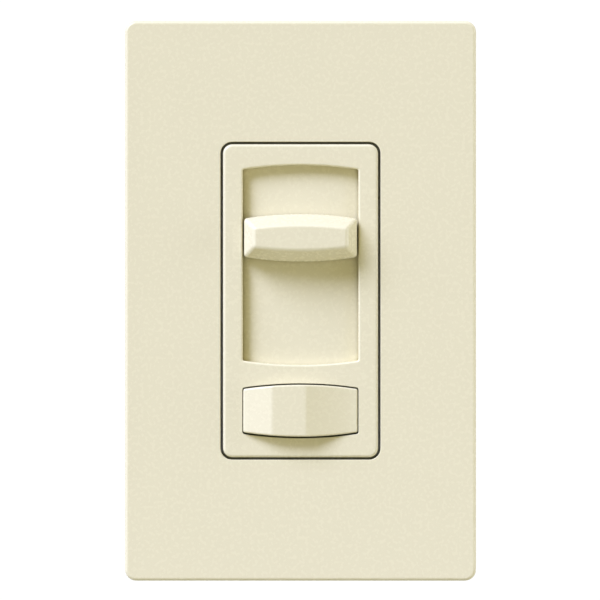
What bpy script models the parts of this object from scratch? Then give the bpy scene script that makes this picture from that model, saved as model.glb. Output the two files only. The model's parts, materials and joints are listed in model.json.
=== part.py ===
"""Dimmer slide switch with a screwless wall plate, built as separate pieces that fit together.

Metres, +Z up. X runs to the right as seen from the room and Y runs into the wall, so the room side
faces -Y. Pieces are drawn with Y = 0 on the wall's surface and the plate centred on X = Z = 0. At
the end the whole object moves along Y, so that its bounding box is centred on the origin.
"""

import math

import bmesh
import bpy
from mathutils import Matrix, Vector

MM = 0.001
REST_GAP = 0.1 * MM  # between two fixed pieces that rest on each other
SLIDE_GAP = 0.3 * MM  # between a moving piece and what guides it
THROUGH = 1.0 * MM  # how far a cutter runs past the wall it cuts

WALL_Y = -14.0 * MM  # the wall's surface, from the middle of the object's bounding box

# Wall plate: a clip-on cover over a screwed-on adapter plate.
PLATE_W, PLATE_H, PLATE_D = 74.7 * MM, 119.1 * MM, 7.6 * MM
PLATE_R = 2.4 * MM
PLATE_WALL = 1.6 * MM
OPENING_W, OPENING_H, OPENING_R = 33.9 * MM, 67.4 * MM, 2.3 * MM
COLLAR_WALL, COLLAR_DEPTH = 1.2 * MM, 3.0 * MM
ADAPTER_W, ADAPTER_H, ADAPTER_T = 70.4 * MM, 113.0 * MM, 1.5 * MM
ADAPTER_OPENING_W, ADAPTER_OPENING_H = 43.6 * MM, 72.0 * MM
ADAPTER_RIM, ADAPTER_HEAD_ROOM = 1.2 * MM, 4.2 * MM
SNAP_Z, SNAP_LENGTH, SNAP_BITE, SNAP_T = 35.0 * MM, 8.0 * MM, 1.2 * MM, 1.0 * MM
CORNER_R = 2.0 * MM

# Metal yoke, which is also the heat sink, with the spacings of a US wall box.
YOKE_T = 1.5 * MM
YOKE_FRONT = -YOKE_T
YOKE_HALF_H = 53.2 * MM
YOKE_BODY_X, YOKE_FIN_X, YOKE_FIN_Z = 22.25 * MM, 33.0 * MM, 29.0 * MM
PLATE_SCREW_Z = 48.42 * MM
BOX_SCREW_Z = 41.67 * MM
SCREW_R, SCREW_SLOT = 1.75 * MM, 1.0 * MM
BOX_SLOT_W, BOX_SLOT_H = 9.0 * MM, 4.4 * MM
BUTTON_WINDOW_W, BUTTON_WINDOW_H = 28.0 * MM, 13.8 * MM
YOKE_SLOT, SCORE_W = 2.2 * MM, 0.6 * MM
BOX_HEAD_R, BOX_HEAD_T, BOX_SCREW_LENGTH = 3.4 * MM, 2.2 * MM, 25.4 * MM
PLATE_HEAD_R, PLATE_HEAD_T, PLATE_SCREW_LENGTH = 3.1 * MM, 1.9 * MM, 9.5 * MM

# Bezel, with the recess that the knob slides in and the opening of the button.
BEZEL_W, BEZEL_H, BEZEL_R = 33.0 * MM, 66.6 * MM, 2.0 * MM
BEZEL_FRONT = -8.0 * MM
BEZEL_BACK = YOKE_FRONT - REST_GAP
BEZEL_WALL, BEZEL_FACE = 1.6 * MM, 1.8 * MM
RECESS_Z = 7.6 * MM
RECESS_HALF_W, RECESS_SIDE, RECESS_RISE = 12.35 * MM, 20.6 * MM, 0.95 * MM
RECESS_DEPTH, FLOOR_T = 2.4 * MM, 1.5 * MM
FLOOR_FRONT = BEZEL_FRONT + RECESS_DEPTH
FLOOR_BACK = FLOOR_FRONT + FLOOR_T
GROOVE_INNER_X = 11.35 * MM
GROOVE_BOTTOM = FLOOR_FRONT + 0.8 * MM
SIDE_SLOT = 0.9 * MM
BUTTON_Z = -23.4 * MM
BUTTON_HOLE_HALF_W, BUTTON_HOLE_SIDE, BUTTON_RISE = 12.3 * MM, 4.85 * MM, 0.9 * MM
GUIDE_WALL = 1.0 * MM
PEG_R, PEG_HOLE_R, PEG_HEAD_R = 1.0 * MM, 1.3 * MM, 1.7 * MM
PEGS = [(side * 15.4 * MM, z * MM) for side in (-1, 1) for z in (-12.0, 22.0)]

# Slide knob, where it stands at rest, and how far it slides.
KNOB_Z = 13.4 * MM
KNOB_UP, KNOB_DOWN = 10.3 * MM, 21.9 * MM
KNOB_HALF_W, KNOB_SIDE, KNOB_RISE = 12.0 * MM, 4.1 * MM, 0.95 * MM
KNOB_FACE_HALF_W, KNOB_FACE_SIDE, KNOB_FACE_RISE = 10.0 * MM, 2.1 * MM, 0.65 * MM
KNOB_FRONT, KNOB_SHOULDER = BEZEL_FRONT - 5.2 * MM, BEZEL_FRONT - 1.2 * MM
KNOB_BACK = FLOOR_FRONT - SLIDE_GAP
KNOB_WALL = 1.4 * MM
LEG_INNER_X, LEG_OUTER_X, LEG_HALF_H = 11.6 * MM, 12.0 * MM, 2.5 * MM
FOOT_FRONT, FOOT_BACK = GROOVE_BOTTOM - 0.7 * MM, GROOVE_BOTTOM - 0.2 * MM
HOOK_INNER_X, HOOK_OUTER_X = 14.15 * MM, 14.55 * MM

# Carriage and track behind the recess floor.
CARRIAGE_HALF_W, CARRIAGE_HALF_H = 14.55 * MM, 6.0 * MM
CARRIAGE_FRONT = FLOOR_BACK + SLIDE_GAP
CARRIAGE_BACK = CARRIAGE_FRONT + 0.9 * MM
SOCKET_GAP = 0.2 * MM
TRACK_BACK = YOKE_FRONT - REST_GAP
TRACK_FRONT = TRACK_BACK - 1.0 * MM
TRACK_HALF_W, TRACK_HALF_H, TRACK_STOP, TRACK_SLOT = 14.4 * MM, 23.0 * MM, 0.7 * MM, 1.6 * MM

# Slide potentiometer behind the yoke.
TANG_HALF_T, TANG_HALF_H = 0.6 * MM, 2.0 * MM
WIPER_BLOCK_HALF_W, WIPER_BLOCK_HALF_H = 3.2 * MM, 4.5 * MM
WIPER_FRONT, WIPER_T = 4.5 * MM, 0.3 * MM
POT_FRONT, POT_BACK, POT_BASE_FRONT = 0.8 * MM, 6.5 * MM, 5.5 * MM
POT_HALF_W, POT_HALF_H, POT_SHEET, POT_SLOT = 4.6 * MM, 22.5 * MM, 0.6 * MM, 1.2 * MM
POT_PIN_R, PIN_PROUD = 0.4 * MM, 1.2 * MM
POT_PINS = [(x * MM, RECESS_Z + end * 20.5 * MM) for x, end in ((0.0, -1), (0.0, 1), (2.5, -1))]
LEVER_SLOT_BOTTOM = KNOB_Z - KNOB_DOWN - TANG_HALF_H - 0.5 * MM
LEVER_SLOT_TOP = KNOB_Z + KNOB_UP + TANG_HALF_H + 0.5 * MM

# Push button with an arched outline and three front facets.
BUTTON_TRAVEL = 1.8 * MM
BUTTON_HALF_W, BUTTON_SIDE = 12.05 * MM, 4.6 * MM
BUTTON_PEAK = BEZEL_FRONT - 3.0 * MM
BUTTON_FACETS = [  # the front of its horizontal section, as (x, y) from left to right
    (-BUTTON_HALF_W, BEZEL_FRONT - 0.8 * MM),
    (-5.95 * MM, BUTTON_PEAK),
    (1.1 * MM, BUTTON_PEAK),
    (BUTTON_HALF_W, BEZEL_FRONT + 0.1 * MM),
]
BUTTON_WALL = 1.4 * MM
BUTTON_BACK = -2.5 * MM
BUTTON_FLANGE_T, BUTTON_FLANGE_OUT = 0.8 * MM, 0.75 * MM
STEM_R, STEM_END = 2.0 * MM, 4.5 * MM
FORK_Y, FORK_HALF_W = 2.0 * MM, 0.95 * MM
SPRING_R, SPRING_WIRE_R, SPRING_TURNS, SPRING_STEPS = 2.9 * MM, 0.3 * MM, 5, 8

# Alternate-action switch behind the button: a see-saw rocker tipped by a kicker on the stem.
SWITCH_HALF_W, SWITCH_HALF_H = 9.0 * MM, 7.7 * MM
SWITCH_WALL = 1.2 * MM
COVER_FRONT, COVER_BACK = 0.8 * MM, 2.0 * MM
SWITCH_FRONT, SWITCH_BACK = 2.1 * MM, 17.5 * MM
ROCKER_Y = 11.5 * MM
ROCKER_TILT = math.radians(20.0)
POCKET_ARM = BUTTON_TRAVEL / 2 / math.sin(ROCKER_TILT)
KICKER_PIVOT_Y, KICKER_PIN_R, KICKER_EYE_R, KICKER_HALF_W = 3.2 * MM, 0.45 * MM, 1.15 * MM, 0.8 * MM
ROCKER_HALF_W, ROCKER_HUB_R, ROCKER_BACK, ROCKER_PIN_R = 3.4 * MM, 1.45 * MM, 1.6 * MM, 0.65 * MM
CONTACT_X, CONTACT_R, CONTACT_T = 4.6 * MM, 1.2 * MM, 0.4 * MM
LUG_HALF_W, LUG_T, LUG_Z, LUG_PROUD = 1.4 * MM, 0.5 * MM, 1.7 * MM, 2.5 * MM

# Rear housing and what it holds.
COVER_W, COVER_H, COVER_D = 44.0 * MM, 68.0 * MM, 26.0 * MM
COVER_WALL, COVER_R = 1.5 * MM, 2.5 * MM
LABEL_W, LABEL_H, LABEL_Z, LABEL_DEPTH = 26.0 * MM, 22.0 * MM, -4.0 * MM, 0.4 * MM
LEDGE_T, LEDGE_HOLD, LEDGE_ZS = 2.0 * MM, 1.4 * MM, (-10.0 * MM, 16.0 * MM)
RIVET_X, RIVET_Z = 19.3 * MM, 28.5 * MM
RIVET_R, RIVET_BORE_R, RIVET_HEAD_R, RIVET_HEAD_T = 1.6 * MM, 1.1 * MM, 2.3 * MM, 0.5 * MM
BOSS_R = 2.6 * MM
SHEET_FRONT, SHEET_BACK = 0.15 * MM, 0.45 * MM
SHEET_HALF_W, SHEET_HALF_H = 20.0 * MM, 32.0 * MM
BOARD_FRONT, BOARD_BACK = 7.0 * MM, 8.6 * MM
BOARD_HALF_W, BOARD_BOTTOM, BOARD_TOP = 19.6 * MM, -14.6 * MM, 31.6 * MM
NOTCH_X, NOTCH_Z = 15.7 * MM, 25.3 * MM
TRIAC_X, TRIAC_BOTTOM, TRIAC_HALF_W = 12.6 * MM, -2.0 * MM, 5.1 * MM
TRIAC_FRONT, TRIAC_BACK, TRIAC_BODY_H, TRIAC_TAB_H = 1.95 * MM, 4.95 * MM, 9.2 * MM, 15.8 * MM
TRIAC_HOLE_Z, TRIAC_TAB_HOLE_R, TRIAC_RIVET_R, TRIAC_SINK_R = 11.2 * MM, 1.9 * MM, 1.4 * MM, 2.7 * MM
TRIAC_LEG_XS = [TRIAC_X + i * 2.54 * MM for i in (-1, 0, 1)]
TRIAC_LEG_Z = TRIAC_BOTTOM - 2.6 * MM
LEG_W, LEG_T, WIRE_R = 0.8 * MM, 0.5 * MM, 0.3 * MM
CHOKE_X, CHOKE_Z = -8.3 * MM, -2.4 * MM
CHOKE_OUTER, CHOKE_INNER, CHOKE_HEIGHT = 9.4 * MM, 5.0 * MM, 8.0 * MM
CHOKE_FRONT = BOARD_BACK + 1.6 * MM
WINDING_T, WINDING_OPEN = 1.1 * MM, math.radians(40.0)
AXIAL_X = 11.0 * MM
LEAD_R, LEAD_HOLE_R, CONDUCTOR_R = 1.5 * MM, 1.8 * MM, 0.8 * MM
LEAD_Z = 25.0 * MM
LEAD_OUT, LEAD_BEND, LEAD_DROP, LEAD_SWAY = 6.9 * MM, 7.0 * MM, 58.0 * MM, 4.0 * MM
BARE_LENGTH = 11.0 * MM
LEADS = {"lead_line": -10.5 * MM, "lead_ground": 0.0, "lead_load": 10.5 * MM}

CORNER_STEPS = 3
ARCH_STEPS = 8
ROUND_STEPS = 16
SMALL_STEPS = 10

# Curve-local X, Y to world X, Z, and a turned profile's axis to world Y.
UPRIGHT = Matrix.Rotation(math.radians(90.0), 4, "X")
TURNED_TO_Y = Matrix.Rotation(math.radians(-90.0), 4, "X")
TURNED_TO_X = Matrix.Rotation(math.radians(90.0), 4, "Y")


def clear_scene():
    for obj in list(bpy.data.objects):
        bpy.data.objects.remove(obj)


def material(name, colour, roughness, metallic=0.0):
    made = bpy.data.materials.new(name)
    made.use_nodes = True
    shader = made.node_tree.nodes["Principled BSDF"]
    shader.inputs["Base Color"].default_value = (*colour, 1.0)
    shader.inputs["Roughness"].default_value = roughness
    shader.inputs["Metallic"].default_value = metallic
    return made


# ---- outlines: lists of (x, z) points -------------------------------------------------------


def circle(radius, x=0.0, z=0.0, steps=ROUND_STEPS):
    turn = 2 * math.pi / steps
    return [(x + radius * math.cos(i * turn), z + radius * math.sin(i * turn)) for i in range(steps)]


def rounded(corners, steps=CORNER_STEPS):
    """The polygon of (x, z, radius) corners with an arc at each corner that has a radius."""
    points = []
    for i, (x, z, radius) in enumerate(corners):
        here = Vector((x, z))
        before = (Vector(corners[i - 1][:2]) - here).normalized()
        after = (Vector(corners[(i + 1) % len(corners)][:2]) - here).normalized()
        if radius == 0.0:
            points.append((x, z))
            continue
        half = before.angle(after) / 2
        start = here + before * (radius / math.tan(half))
        end = here + after * (radius / math.tan(half))
        centre = here + (before + after).normalized() * (radius / math.sin(half))
        for step in range(steps + 1):
            spoke = (start - centre).slerp(end - centre, step / steps)
            points.append(tuple(centre + spoke * radius))
    return points


def between(x0, x1, z0, z1):
    return [(x0, z0), (x1, z0), (x1, z1), (x0, z1)]


def rectangle(width, height, radius=0.0, x=0.0, z=0.0):
    sides = between(x - width / 2, x + width / 2, z - height / 2, z + height / 2)
    return rounded([(*corner, radius) for corner in sides])


def arched(half_width, side, rise, z=0.0):
    """A band whose upper and lower edges bulge outwards by rise in the middle."""
    share = [2 * i / ARCH_STEPS - 1 for i in range(ARCH_STEPS + 1)]
    top = [(-half_width * s, z + side + rise * (1 - s * s)) for s in share]
    bottom = [(half_width * s, z - side - rise * (1 - s * s)) for s in share]
    return top + bottom


def mirrored(half):
    """A full outline from the right half, which is listed from bottom to top."""
    return half + [(-x, z, radius) for x, z, radius in reversed(half)]


# ---- solids -----------------------------------------------------------------------------------


def solid_of(helper, name):
    """Replaces a helper object by a mesh object with its evaluated, welded shape in world space."""
    bpy.context.view_layer.update()
    graph = bpy.context.evaluated_depsgraph_get()
    mesh = bpy.data.meshes.new_from_object(helper.evaluated_get(graph))
    mesh.transform(helper.matrix_world)
    bpy.data.objects.remove(helper)
    shape = bmesh.new()
    shape.from_mesh(mesh)
    bmesh.ops.remove_doubles(shape, verts=shape.verts, dist=1e-7)
    bmesh.ops.recalc_face_normals(shape, faces=shape.faces)
    shape.to_mesh(mesh)
    shape.free()
    mesh.name = name
    obj = bpy.data.objects.new(name, mesh)
    PARTS.objects.link(obj)
    return obj


def prism(name, loops, y0, y1):
    """An outline in the X-Z plane, with any further loops as holes, from y0 to y1."""
    curve = bpy.data.curves.new(name, "CURVE")
    curve.dimensions = "2D"
    curve.fill_mode = "BOTH"
    curve.extrude = (y1 - y0) / 2
    for loop in loops:
        spline = curve.splines.new("POLY")
        spline.points.add(len(loop) - 1)
        for point, (x, z) in zip(spline.points, loop):
            point.co = (x, z, 0.0, 1.0)
        spline.use_cyclic_u = True
    helper = bpy.data.objects.new(name, curve)
    PARTS.objects.link(helper)
    helper.matrix_world = Matrix.Translation((0.0, (y0 + y1) / 2, 0.0)) @ UPRIGHT
    return solid_of(helper, name)


def sideways_prism(name, outline, x0, x1):
    """An outline of (y, z) points, from x0 to x1."""
    made = prism(name, [outline], x0, x1)
    made.data.transform(Matrix(((0, 1, 0, 0), (1, 0, 0, 0), (0, 0, 1, 0), (0, 0, 0, 1))))
    made.data.flip_normals()
    return made


def upright_prism(name, outline, z0, z1):
    """An outline of (x, y) points, from z0 to z1."""
    made = prism(name, [outline], z0, z1)
    made.data.transform(Matrix(((1, 0, 0, 0), (0, 0, 1, 0), (0, 1, 0, 0), (0, 0, 0, 1))))
    made.data.flip_normals()
    return made


def box(name, x0, x1, y0, y1, z0, z1):
    bpy.ops.mesh.primitive_cube_add(size=1.0)
    helper = bpy.context.object
    helper.scale = (x1 - x0, y1 - y0, z1 - z0)
    helper.location = ((x0 + x1) / 2, (y0 + y1) / 2, (z0 + z1) / 2)
    return solid_of(helper, name)


def turned(name, profile, place, axis=TURNED_TO_Y, steps=ROUND_STEPS, closed=False):
    """A profile of (radius, height) points turned about an axis that runs through place."""
    mesh = bpy.data.meshes.new(name)
    points = [(radius, 0.0, height) for radius, height in profile]
    edges = [(i, i + 1) for i in range(len(points) - 1)]
    if closed:
        edges.append((len(points) - 1, 0))
    mesh.from_pydata(points, edges, [])
    helper = bpy.data.objects.new(name, mesh)
    PARTS.objects.link(helper)
    screw = helper.modifiers.new("turn", "SCREW")
    screw.axis = "Z"
    screw.steps = screw.render_steps = steps
    screw.use_merge_vertices = True
    screw.merge_threshold = 1e-6
    helper.matrix_world = Matrix.Translation(place) @ axis
    return solid_of(helper, name)


def rod(name, radius, start, end, place, axis=TURNED_TO_Y, steps=ROUND_STEPS):
    return turned(name, [(0.0, end), (radius, end), (radius, start), (0.0, start)], place, axis, steps)


def tube(name, points, radius, fineness=1):
    """A round wire along points."""
    curve = bpy.data.curves.new(name, "CURVE")
    curve.dimensions = "3D"
    curve.bevel_depth = radius
    curve.bevel_resolution = fineness
    curve.use_fill_caps = True
    spline = curve.splines.new("POLY")
    spline.points.add(len(points) - 1)
    for point, place in zip(spline.points, points):
        point.co = (*place, 1.0)
    helper = bpy.data.objects.new(name, curve)
    PARTS.objects.link(helper)
    return solid_of(helper, name)


def loft(name, rings):
    """A closed skin over rings that have the same number of points, capped at both ends."""
    shape = bmesh.new()
    loops = [[shape.verts.new(point) for point in ring] for ring in rings]
    for lower, upper in zip(loops, loops[1:]):
        for i in range(len(lower)):
            j = (i + 1) % len(lower)
            shape.faces.new((lower[i], lower[j], upper[j], upper[i]))
    shape.faces.new(loops[0])
    shape.faces.new(loops[-1])
    bmesh.ops.recalc_face_normals(shape, faces=shape.faces)
    mesh = bpy.data.meshes.new(name)
    shape.to_mesh(mesh)
    shape.free()
    obj = bpy.data.objects.new(name, mesh)
    PARTS.objects.link(obj)
    return obj


def combined(target, others, operation):
    for other in others:
        modifier = target.modifiers.new(operation.lower(), "BOOLEAN")
        modifier.operation = operation
        modifier.object = other
        name = target.name
        target.name = name + "_source"
        target = solid_of(target, name)
        target.name = name
        bpy.data.objects.remove(other)
    return target


def joined(target, *others):
    return combined(target, others, "UNION")


def cut(target, *others):
    return combined(target, others, "DIFFERENCE")


def overlap_of(target, other):
    return combined(target, [other], "INTERSECT")


def finished(obj, finish):
    obj.data.materials.clear()
    obj.data.materials.append(finish)
    obj.data.shade_smooth()
    obj.data.set_sharp_from_angle(angle=math.radians(30.0))
    return obj


def pivot(name, place, tilt=0.0):
    empty = bpy.data.objects.new(name, None)
    empty.location = place
    empty.rotation_euler.x = tilt
    PARTS.objects.link(empty)
    return empty


def hang(empty, pieces):
    """Parents pieces to the empty on their joint's axis, with their own origins moved onto it."""
    for piece in pieces:
        piece.data.transform(Matrix.Translation(-empty.location))
        piece.parent = empty


# ---- wall plate -------------------------------------------------------------------------------


def make_faceplate():
    """The clip-on cover: a hollow plate with a collar round its opening and four snap hooks."""
    front = -PLATE_D
    opening = rectangle(OPENING_W, OPENING_H, OPENING_R)
    inner = rectangle(PLATE_W - 2 * PLATE_WALL, PLATE_H - 2 * PLATE_WALL, PLATE_R - COLLAR_WALL)
    collar_r = OPENING_R + COLLAR_WALL
    collar = rectangle(OPENING_W + 2 * COLLAR_WALL, OPENING_H + 2 * COLLAR_WALL, collar_r)
    past_collar = rectangle(OPENING_W + 4 * COLLAR_WALL, OPENING_H + 4 * COLLAR_WALL)
    plate = prism("faceplate", [rectangle(PLATE_W, PLATE_H, PLATE_R), opening], front, 0.0)
    plate = cut(
        plate,
        prism("pocket", [inner, collar], front + PLATE_WALL, THROUGH),
        prism("collar_end", [past_collar], front + COLLAR_DEPTH, THROUGH),
    )
    hooks = []
    for side in (-1, 1):
        wall = side * (PLATE_W - PLATE_WALL) / 2
        tip = side * (PLATE_W / 2 - PLATE_WALL - SNAP_BITE)
        for z in (-SNAP_Z, SNAP_Z):
            ends = (z - SNAP_LENGTH / 2, z + SNAP_LENGTH / 2)
            hooks.append(box("hook", min(wall, tip), max(wall, tip), YOKE_FRONT, YOKE_FRONT + SNAP_T, *ends))
    return joined(plate, *hooks)


def make_adapter():
    """The plate behind the cover, open around the device and around the heads of its box screws."""
    back = YOKE_FRONT - REST_GAP
    head_z = BOX_SCREW_Z + BOX_HEAD_R + SLIDE_GAP
    half_w, half_h = ADAPTER_OPENING_W / 2, ADAPTER_OPENING_H / 2
    opening = rounded(mirrored([
        (ADAPTER_HEAD_ROOM, -head_z, CORNER_R),
        (ADAPTER_HEAD_ROOM, -half_h, 0.0),
        (half_w, -half_h, CORNER_R),
        (half_w, half_h, CORNER_R),
        (ADAPTER_HEAD_ROOM, half_h, 0.0),
        (ADAPTER_HEAD_ROOM, head_z, CORNER_R),
    ]))
    holes = [circle(SCREW_R + 0.4 * MM, 0.0, z) for z in (-PLATE_SCREW_Z, PLATE_SCREW_Z)]
    outer = rectangle(ADAPTER_W, ADAPTER_H, CORNER_R)
    plate = prism("adapter_plate", [outer, opening, *holes], back - ADAPTER_T, -REST_GAP)
    relief = rectangle(ADAPTER_W + 2 * THROUGH, ADAPTER_H - 2 * ADAPTER_RIM)
    return cut(plate, prism("relief", [relief], back, THROUGH))


def pan_screw(name, head_back, head_r, head_t, length, z):
    """A slotted screw that points into the wall, with its head's underside at head_back."""
    crown = head_back - head_t
    profile = [
        (0.0, length), (SCREW_R * 0.7, length), (SCREW_R, length - SCREW_R * 0.6), (SCREW_R, 0.0),
        (head_r, 0.0), (head_r, -head_t * 0.45), (head_r * 0.72, -head_t * 0.9), (0.0, -head_t),
    ]
    screw = turned(name, profile, (0.0, head_back, z))
    across = (-head_r - THROUGH, head_r + THROUGH)
    slot = (z - SCREW_SLOT / 2, z + SCREW_SLOT / 2)
    return cut(screw, box("slot", *across, crown - THROUGH, crown + head_t / 2, *slot))


def make_screw_retainer(name, z):
    """The fibre washer that keeps a box screw in its slot until the device is mounted."""
    loops = [rectangle(9.0 * MM, 8.0 * MM, 1.0 * MM, 0.0, z), circle(SCREW_R + 0.15 * MM, 0.0, z)]
    return prism(name, loops, REST_GAP, 0.9 * MM)


# ---- bezel, knob and carriage -----------------------------------------------------------------


def make_bezel():
    """The front frame, with the tub that the knob slides in and the guide of the button.

    A groove runs down each side of the tub's floor, and a slot in each side wall lets a leg of the knob out.
    """
    cavity_front = BEZEL_FRONT + BEZEL_FACE
    root = cavity_front - BEZEL_FACE / 2
    guide_back = BUTTON_BACK - BUTTON_FLANGE_T - REST_GAP
    outer = rectangle(BEZEL_W, BEZEL_H, BEZEL_R)
    cavity = rectangle(BEZEL_W - 2 * BEZEL_WALL, BEZEL_H - 2 * BEZEL_WALL, BEZEL_R / 2)
    tub = arched(RECESS_HALF_W + BEZEL_WALL, RECESS_SIDE + BEZEL_WALL, RECESS_RISE, RECESS_Z)
    guide = arched(BUTTON_HOLE_HALF_W + GUIDE_WALL, BUTTON_HOLE_SIDE + GUIDE_WALL, BUTTON_RISE, BUTTON_Z)
    recess = arched(RECESS_HALF_W, RECESS_SIDE, RECESS_RISE, RECESS_Z)
    hole = arched(BUTTON_HOLE_HALF_W, BUTTON_HOLE_SIDE, BUTTON_RISE, BUTTON_Z)
    bezel = prism("bezel", [outer], BEZEL_FRONT, BEZEL_BACK)
    bezel = cut(bezel, prism("cavity", [cavity], cavity_front, THROUGH))
    bezel = joined(bezel, prism("tub", [tub], root, FLOOR_BACK), prism("guide", [guide], root, guide_back))
    bezel = cut(
        bezel,
        prism("recess", [recess], BEZEL_FRONT - THROUGH, FLOOR_FRONT),
        prism("button_hole", [hole], BEZEL_FRONT - THROUGH, guide_back + THROUGH),
    )
    ends = (RECESS_Z - RECESS_SIDE, RECESS_Z + RECESS_SIDE)
    travel = (KNOB_Z - KNOB_DOWN - LEG_HALF_H - SLIDE_GAP, KNOB_Z + KNOB_UP + LEG_HALF_H + SLIDE_GAP)
    slot_depth = (GROOVE_BOTTOM - SIDE_SLOT, GROOVE_BOTTOM - 0.05 * MM)
    for side in (-1, 1):
        across = sorted((side * GROOVE_INNER_X, side * RECESS_HALF_W))
        through = sorted((side * (RECESS_HALF_W - SLIDE_GAP), side * HOOK_OUTER_X))
        bezel = cut(bezel, box("groove", *across, FLOOR_FRONT - THROUGH / 2, GROOVE_BOTTOM, *ends))
        bezel = cut(bezel, box("side_slot", *through, *slot_depth, *travel))
    return joined(bezel, *[make_peg(x, z) for x, z in PEGS])


def make_peg(x, z):
    """A heat-staked peg that holds the bezel to the yoke, with its melted head behind."""
    head = REST_GAP
    profile = [
        (0.0, head + 0.7 * MM), (PEG_HEAD_R * 0.7, head + 0.6 * MM), (PEG_HEAD_R, head), (PEG_R, head),
        (PEG_R, BEZEL_BACK - THROUGH), (0.0, BEZEL_BACK - THROUGH),
    ]
    return turned("peg", profile, (x, 0.0, z), steps=SMALL_STEPS)


def in_plane(outline, y):
    return [(x, y, z) for x, z in outline]


def make_knob():
    """A four-sided bevelled grip with arched edges, hollow behind.

    Its two flat legs turn outwards through the side walls of the recess, and hook round the carriage.
    """
    skirt = arched(KNOB_HALF_W, KNOB_SIDE, KNOB_RISE, KNOB_Z)
    face = arched(KNOB_FACE_HALF_W, KNOB_FACE_SIDE, KNOB_FACE_RISE, KNOB_Z)
    outside = [in_plane(skirt, KNOB_BACK), in_plane(skirt, KNOB_SHOULDER), in_plane(face, KNOB_FRONT)]
    inner_skirt = arched(KNOB_HALF_W - KNOB_WALL, KNOB_SIDE - KNOB_WALL, KNOB_RISE, KNOB_Z)
    inner_face = arched(KNOB_FACE_HALF_W - KNOB_WALL, KNOB_FACE_SIDE / 2, KNOB_FACE_RISE / 2, KNOB_Z)
    inside = [
        in_plane(inner_skirt, KNOB_BACK + THROUGH),
        in_plane(inner_skirt, KNOB_SHOULDER),
        in_plane(inner_face, KNOB_FRONT + KNOB_WALL),
    ]
    grip = cut(loft("slide_knob", outside), loft("hollow", inside))
    legs = []
    for side in (-1, 1):
        height = (KNOB_Z - LEG_HALF_H, KNOB_Z + LEG_HALF_H)
        leg = sorted((side * LEG_INNER_X, side * LEG_OUTER_X))
        foot = sorted((side * LEG_INNER_X, side * HOOK_OUTER_X))
        hook = sorted((side * HOOK_INNER_X, side * HOOK_OUTER_X))
        legs.append(box("leg", *leg, KNOB_BACK - THROUGH, FOOT_BACK - 0.1 * MM, *height))
        legs.append(box("foot", *foot, FOOT_FRONT, FOOT_BACK, *height))
        legs.append(box("hook", *hook, FOOT_FRONT + 0.1 * MM, CARRIAGE_BACK, *height))
    return joined(grip, *legs)


def make_carriage():
    """The plate behind the recess floor, notched for the knob's hooks and bored for the tang."""
    notch_x, notch_h = HOOK_INNER_X - SOCKET_GAP, LEG_HALF_H + SOCKET_GAP
    outline = [
        (x, KNOB_Z + z, 0.0)
        for x, z in (
            (CARRIAGE_HALF_W, -CARRIAGE_HALF_H), (CARRIAGE_HALF_W, -notch_h), (notch_x, -notch_h),
            (notch_x, notch_h), (CARRIAGE_HALF_W, notch_h), (CARRIAGE_HALF_W, CARRIAGE_HALF_H),
        )
    ]
    tang = rectangle(2 * (TANG_HALF_T + SOCKET_GAP), 2 * (TANG_HALF_H + SOCKET_GAP), 0.0, 0.0, KNOB_Z)
    return prism("slider_carriage", [rounded(mirrored(outline)), tang], CARRIAGE_FRONT, CARRIAGE_BACK)


def make_track():
    """The plate behind the carriage, with a raised stop at each end."""
    stop_front = FLOOR_BACK + SOCKET_GAP
    outer = rectangle(2 * TRACK_HALF_W, 2 * TRACK_HALF_H, 0.0, 0.0, RECESS_Z)
    slot = between(-TRACK_SLOT, TRACK_SLOT, LEVER_SLOT_BOTTOM, LEVER_SLOT_TOP)
    channel = rectangle(2 * (TRACK_HALF_W + THROUGH), 2 * (TRACK_HALF_H - TRACK_STOP), 0.0, 0.0, RECESS_Z)
    track = prism("track_plate", [outer, slot], stop_front, TRACK_BACK)
    return cut(track, prism("channel", [channel], stop_front - THROUGH, TRACK_FRONT))


# ---- potentiometer ----------------------------------------------------------------------------


def make_pot_case():
    outer = rectangle(2 * POT_HALF_W, 2 * POT_HALF_H, 0.8 * MM, 0.0, RECESS_Z)
    inner = rectangle(2 * (POT_HALF_W - POT_SHEET), 2 * (POT_HALF_H - POT_SHEET), 0.4 * MM, 0.0, RECESS_Z)
    slot = between(-POT_SLOT, POT_SLOT, LEVER_SLOT_BOTTOM, LEVER_SLOT_TOP)
    case = prism("pot_case", [outer, slot], POT_FRONT, POT_BACK)
    return cut(case, prism("inside", [inner], POT_FRONT + POT_SHEET, POT_BACK + THROUGH))


def make_pot_base():
    """The phenolic board with the resistive track, and its three pins into the circuit board."""
    inset = POT_SHEET + REST_GAP
    outline = rectangle(2 * (POT_HALF_W - inset), 2 * (POT_HALF_H - inset), 0.3 * MM, 0.0, RECESS_Z)
    base = prism("pot_base", [outline], POT_BASE_FRONT, POT_BACK)
    middle = (POT_BASE_FRONT + POT_BACK) / 2
    pins = [rod("pin", POT_PIN_R, middle, BOARD_BACK + PIN_PROUD, (x, 0.0, z), steps=8) for x, z in POT_PINS]
    return joined(base, *pins)


def make_pot_lever():
    """The block that carries the wiper, with the tang that reaches out to the carriage."""
    front = POT_FRONT + POT_SHEET + SLIDE_GAP
    half_w, half_h = WIPER_BLOCK_HALF_W, WIPER_BLOCK_HALF_H
    block = box("pot_lever", -half_w, half_w, front, WIPER_FRONT - REST_GAP, KNOB_Z - half_h, KNOB_Z + half_h)
    depth = (CARRIAGE_FRONT + SOCKET_GAP, front + THROUGH)
    height = (KNOB_Z - TANG_HALF_H, KNOB_Z + TANG_HALF_H)
    return joined(block, box("tang", -TANG_HALF_T, TANG_HALF_T, *depth, *height))


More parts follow.
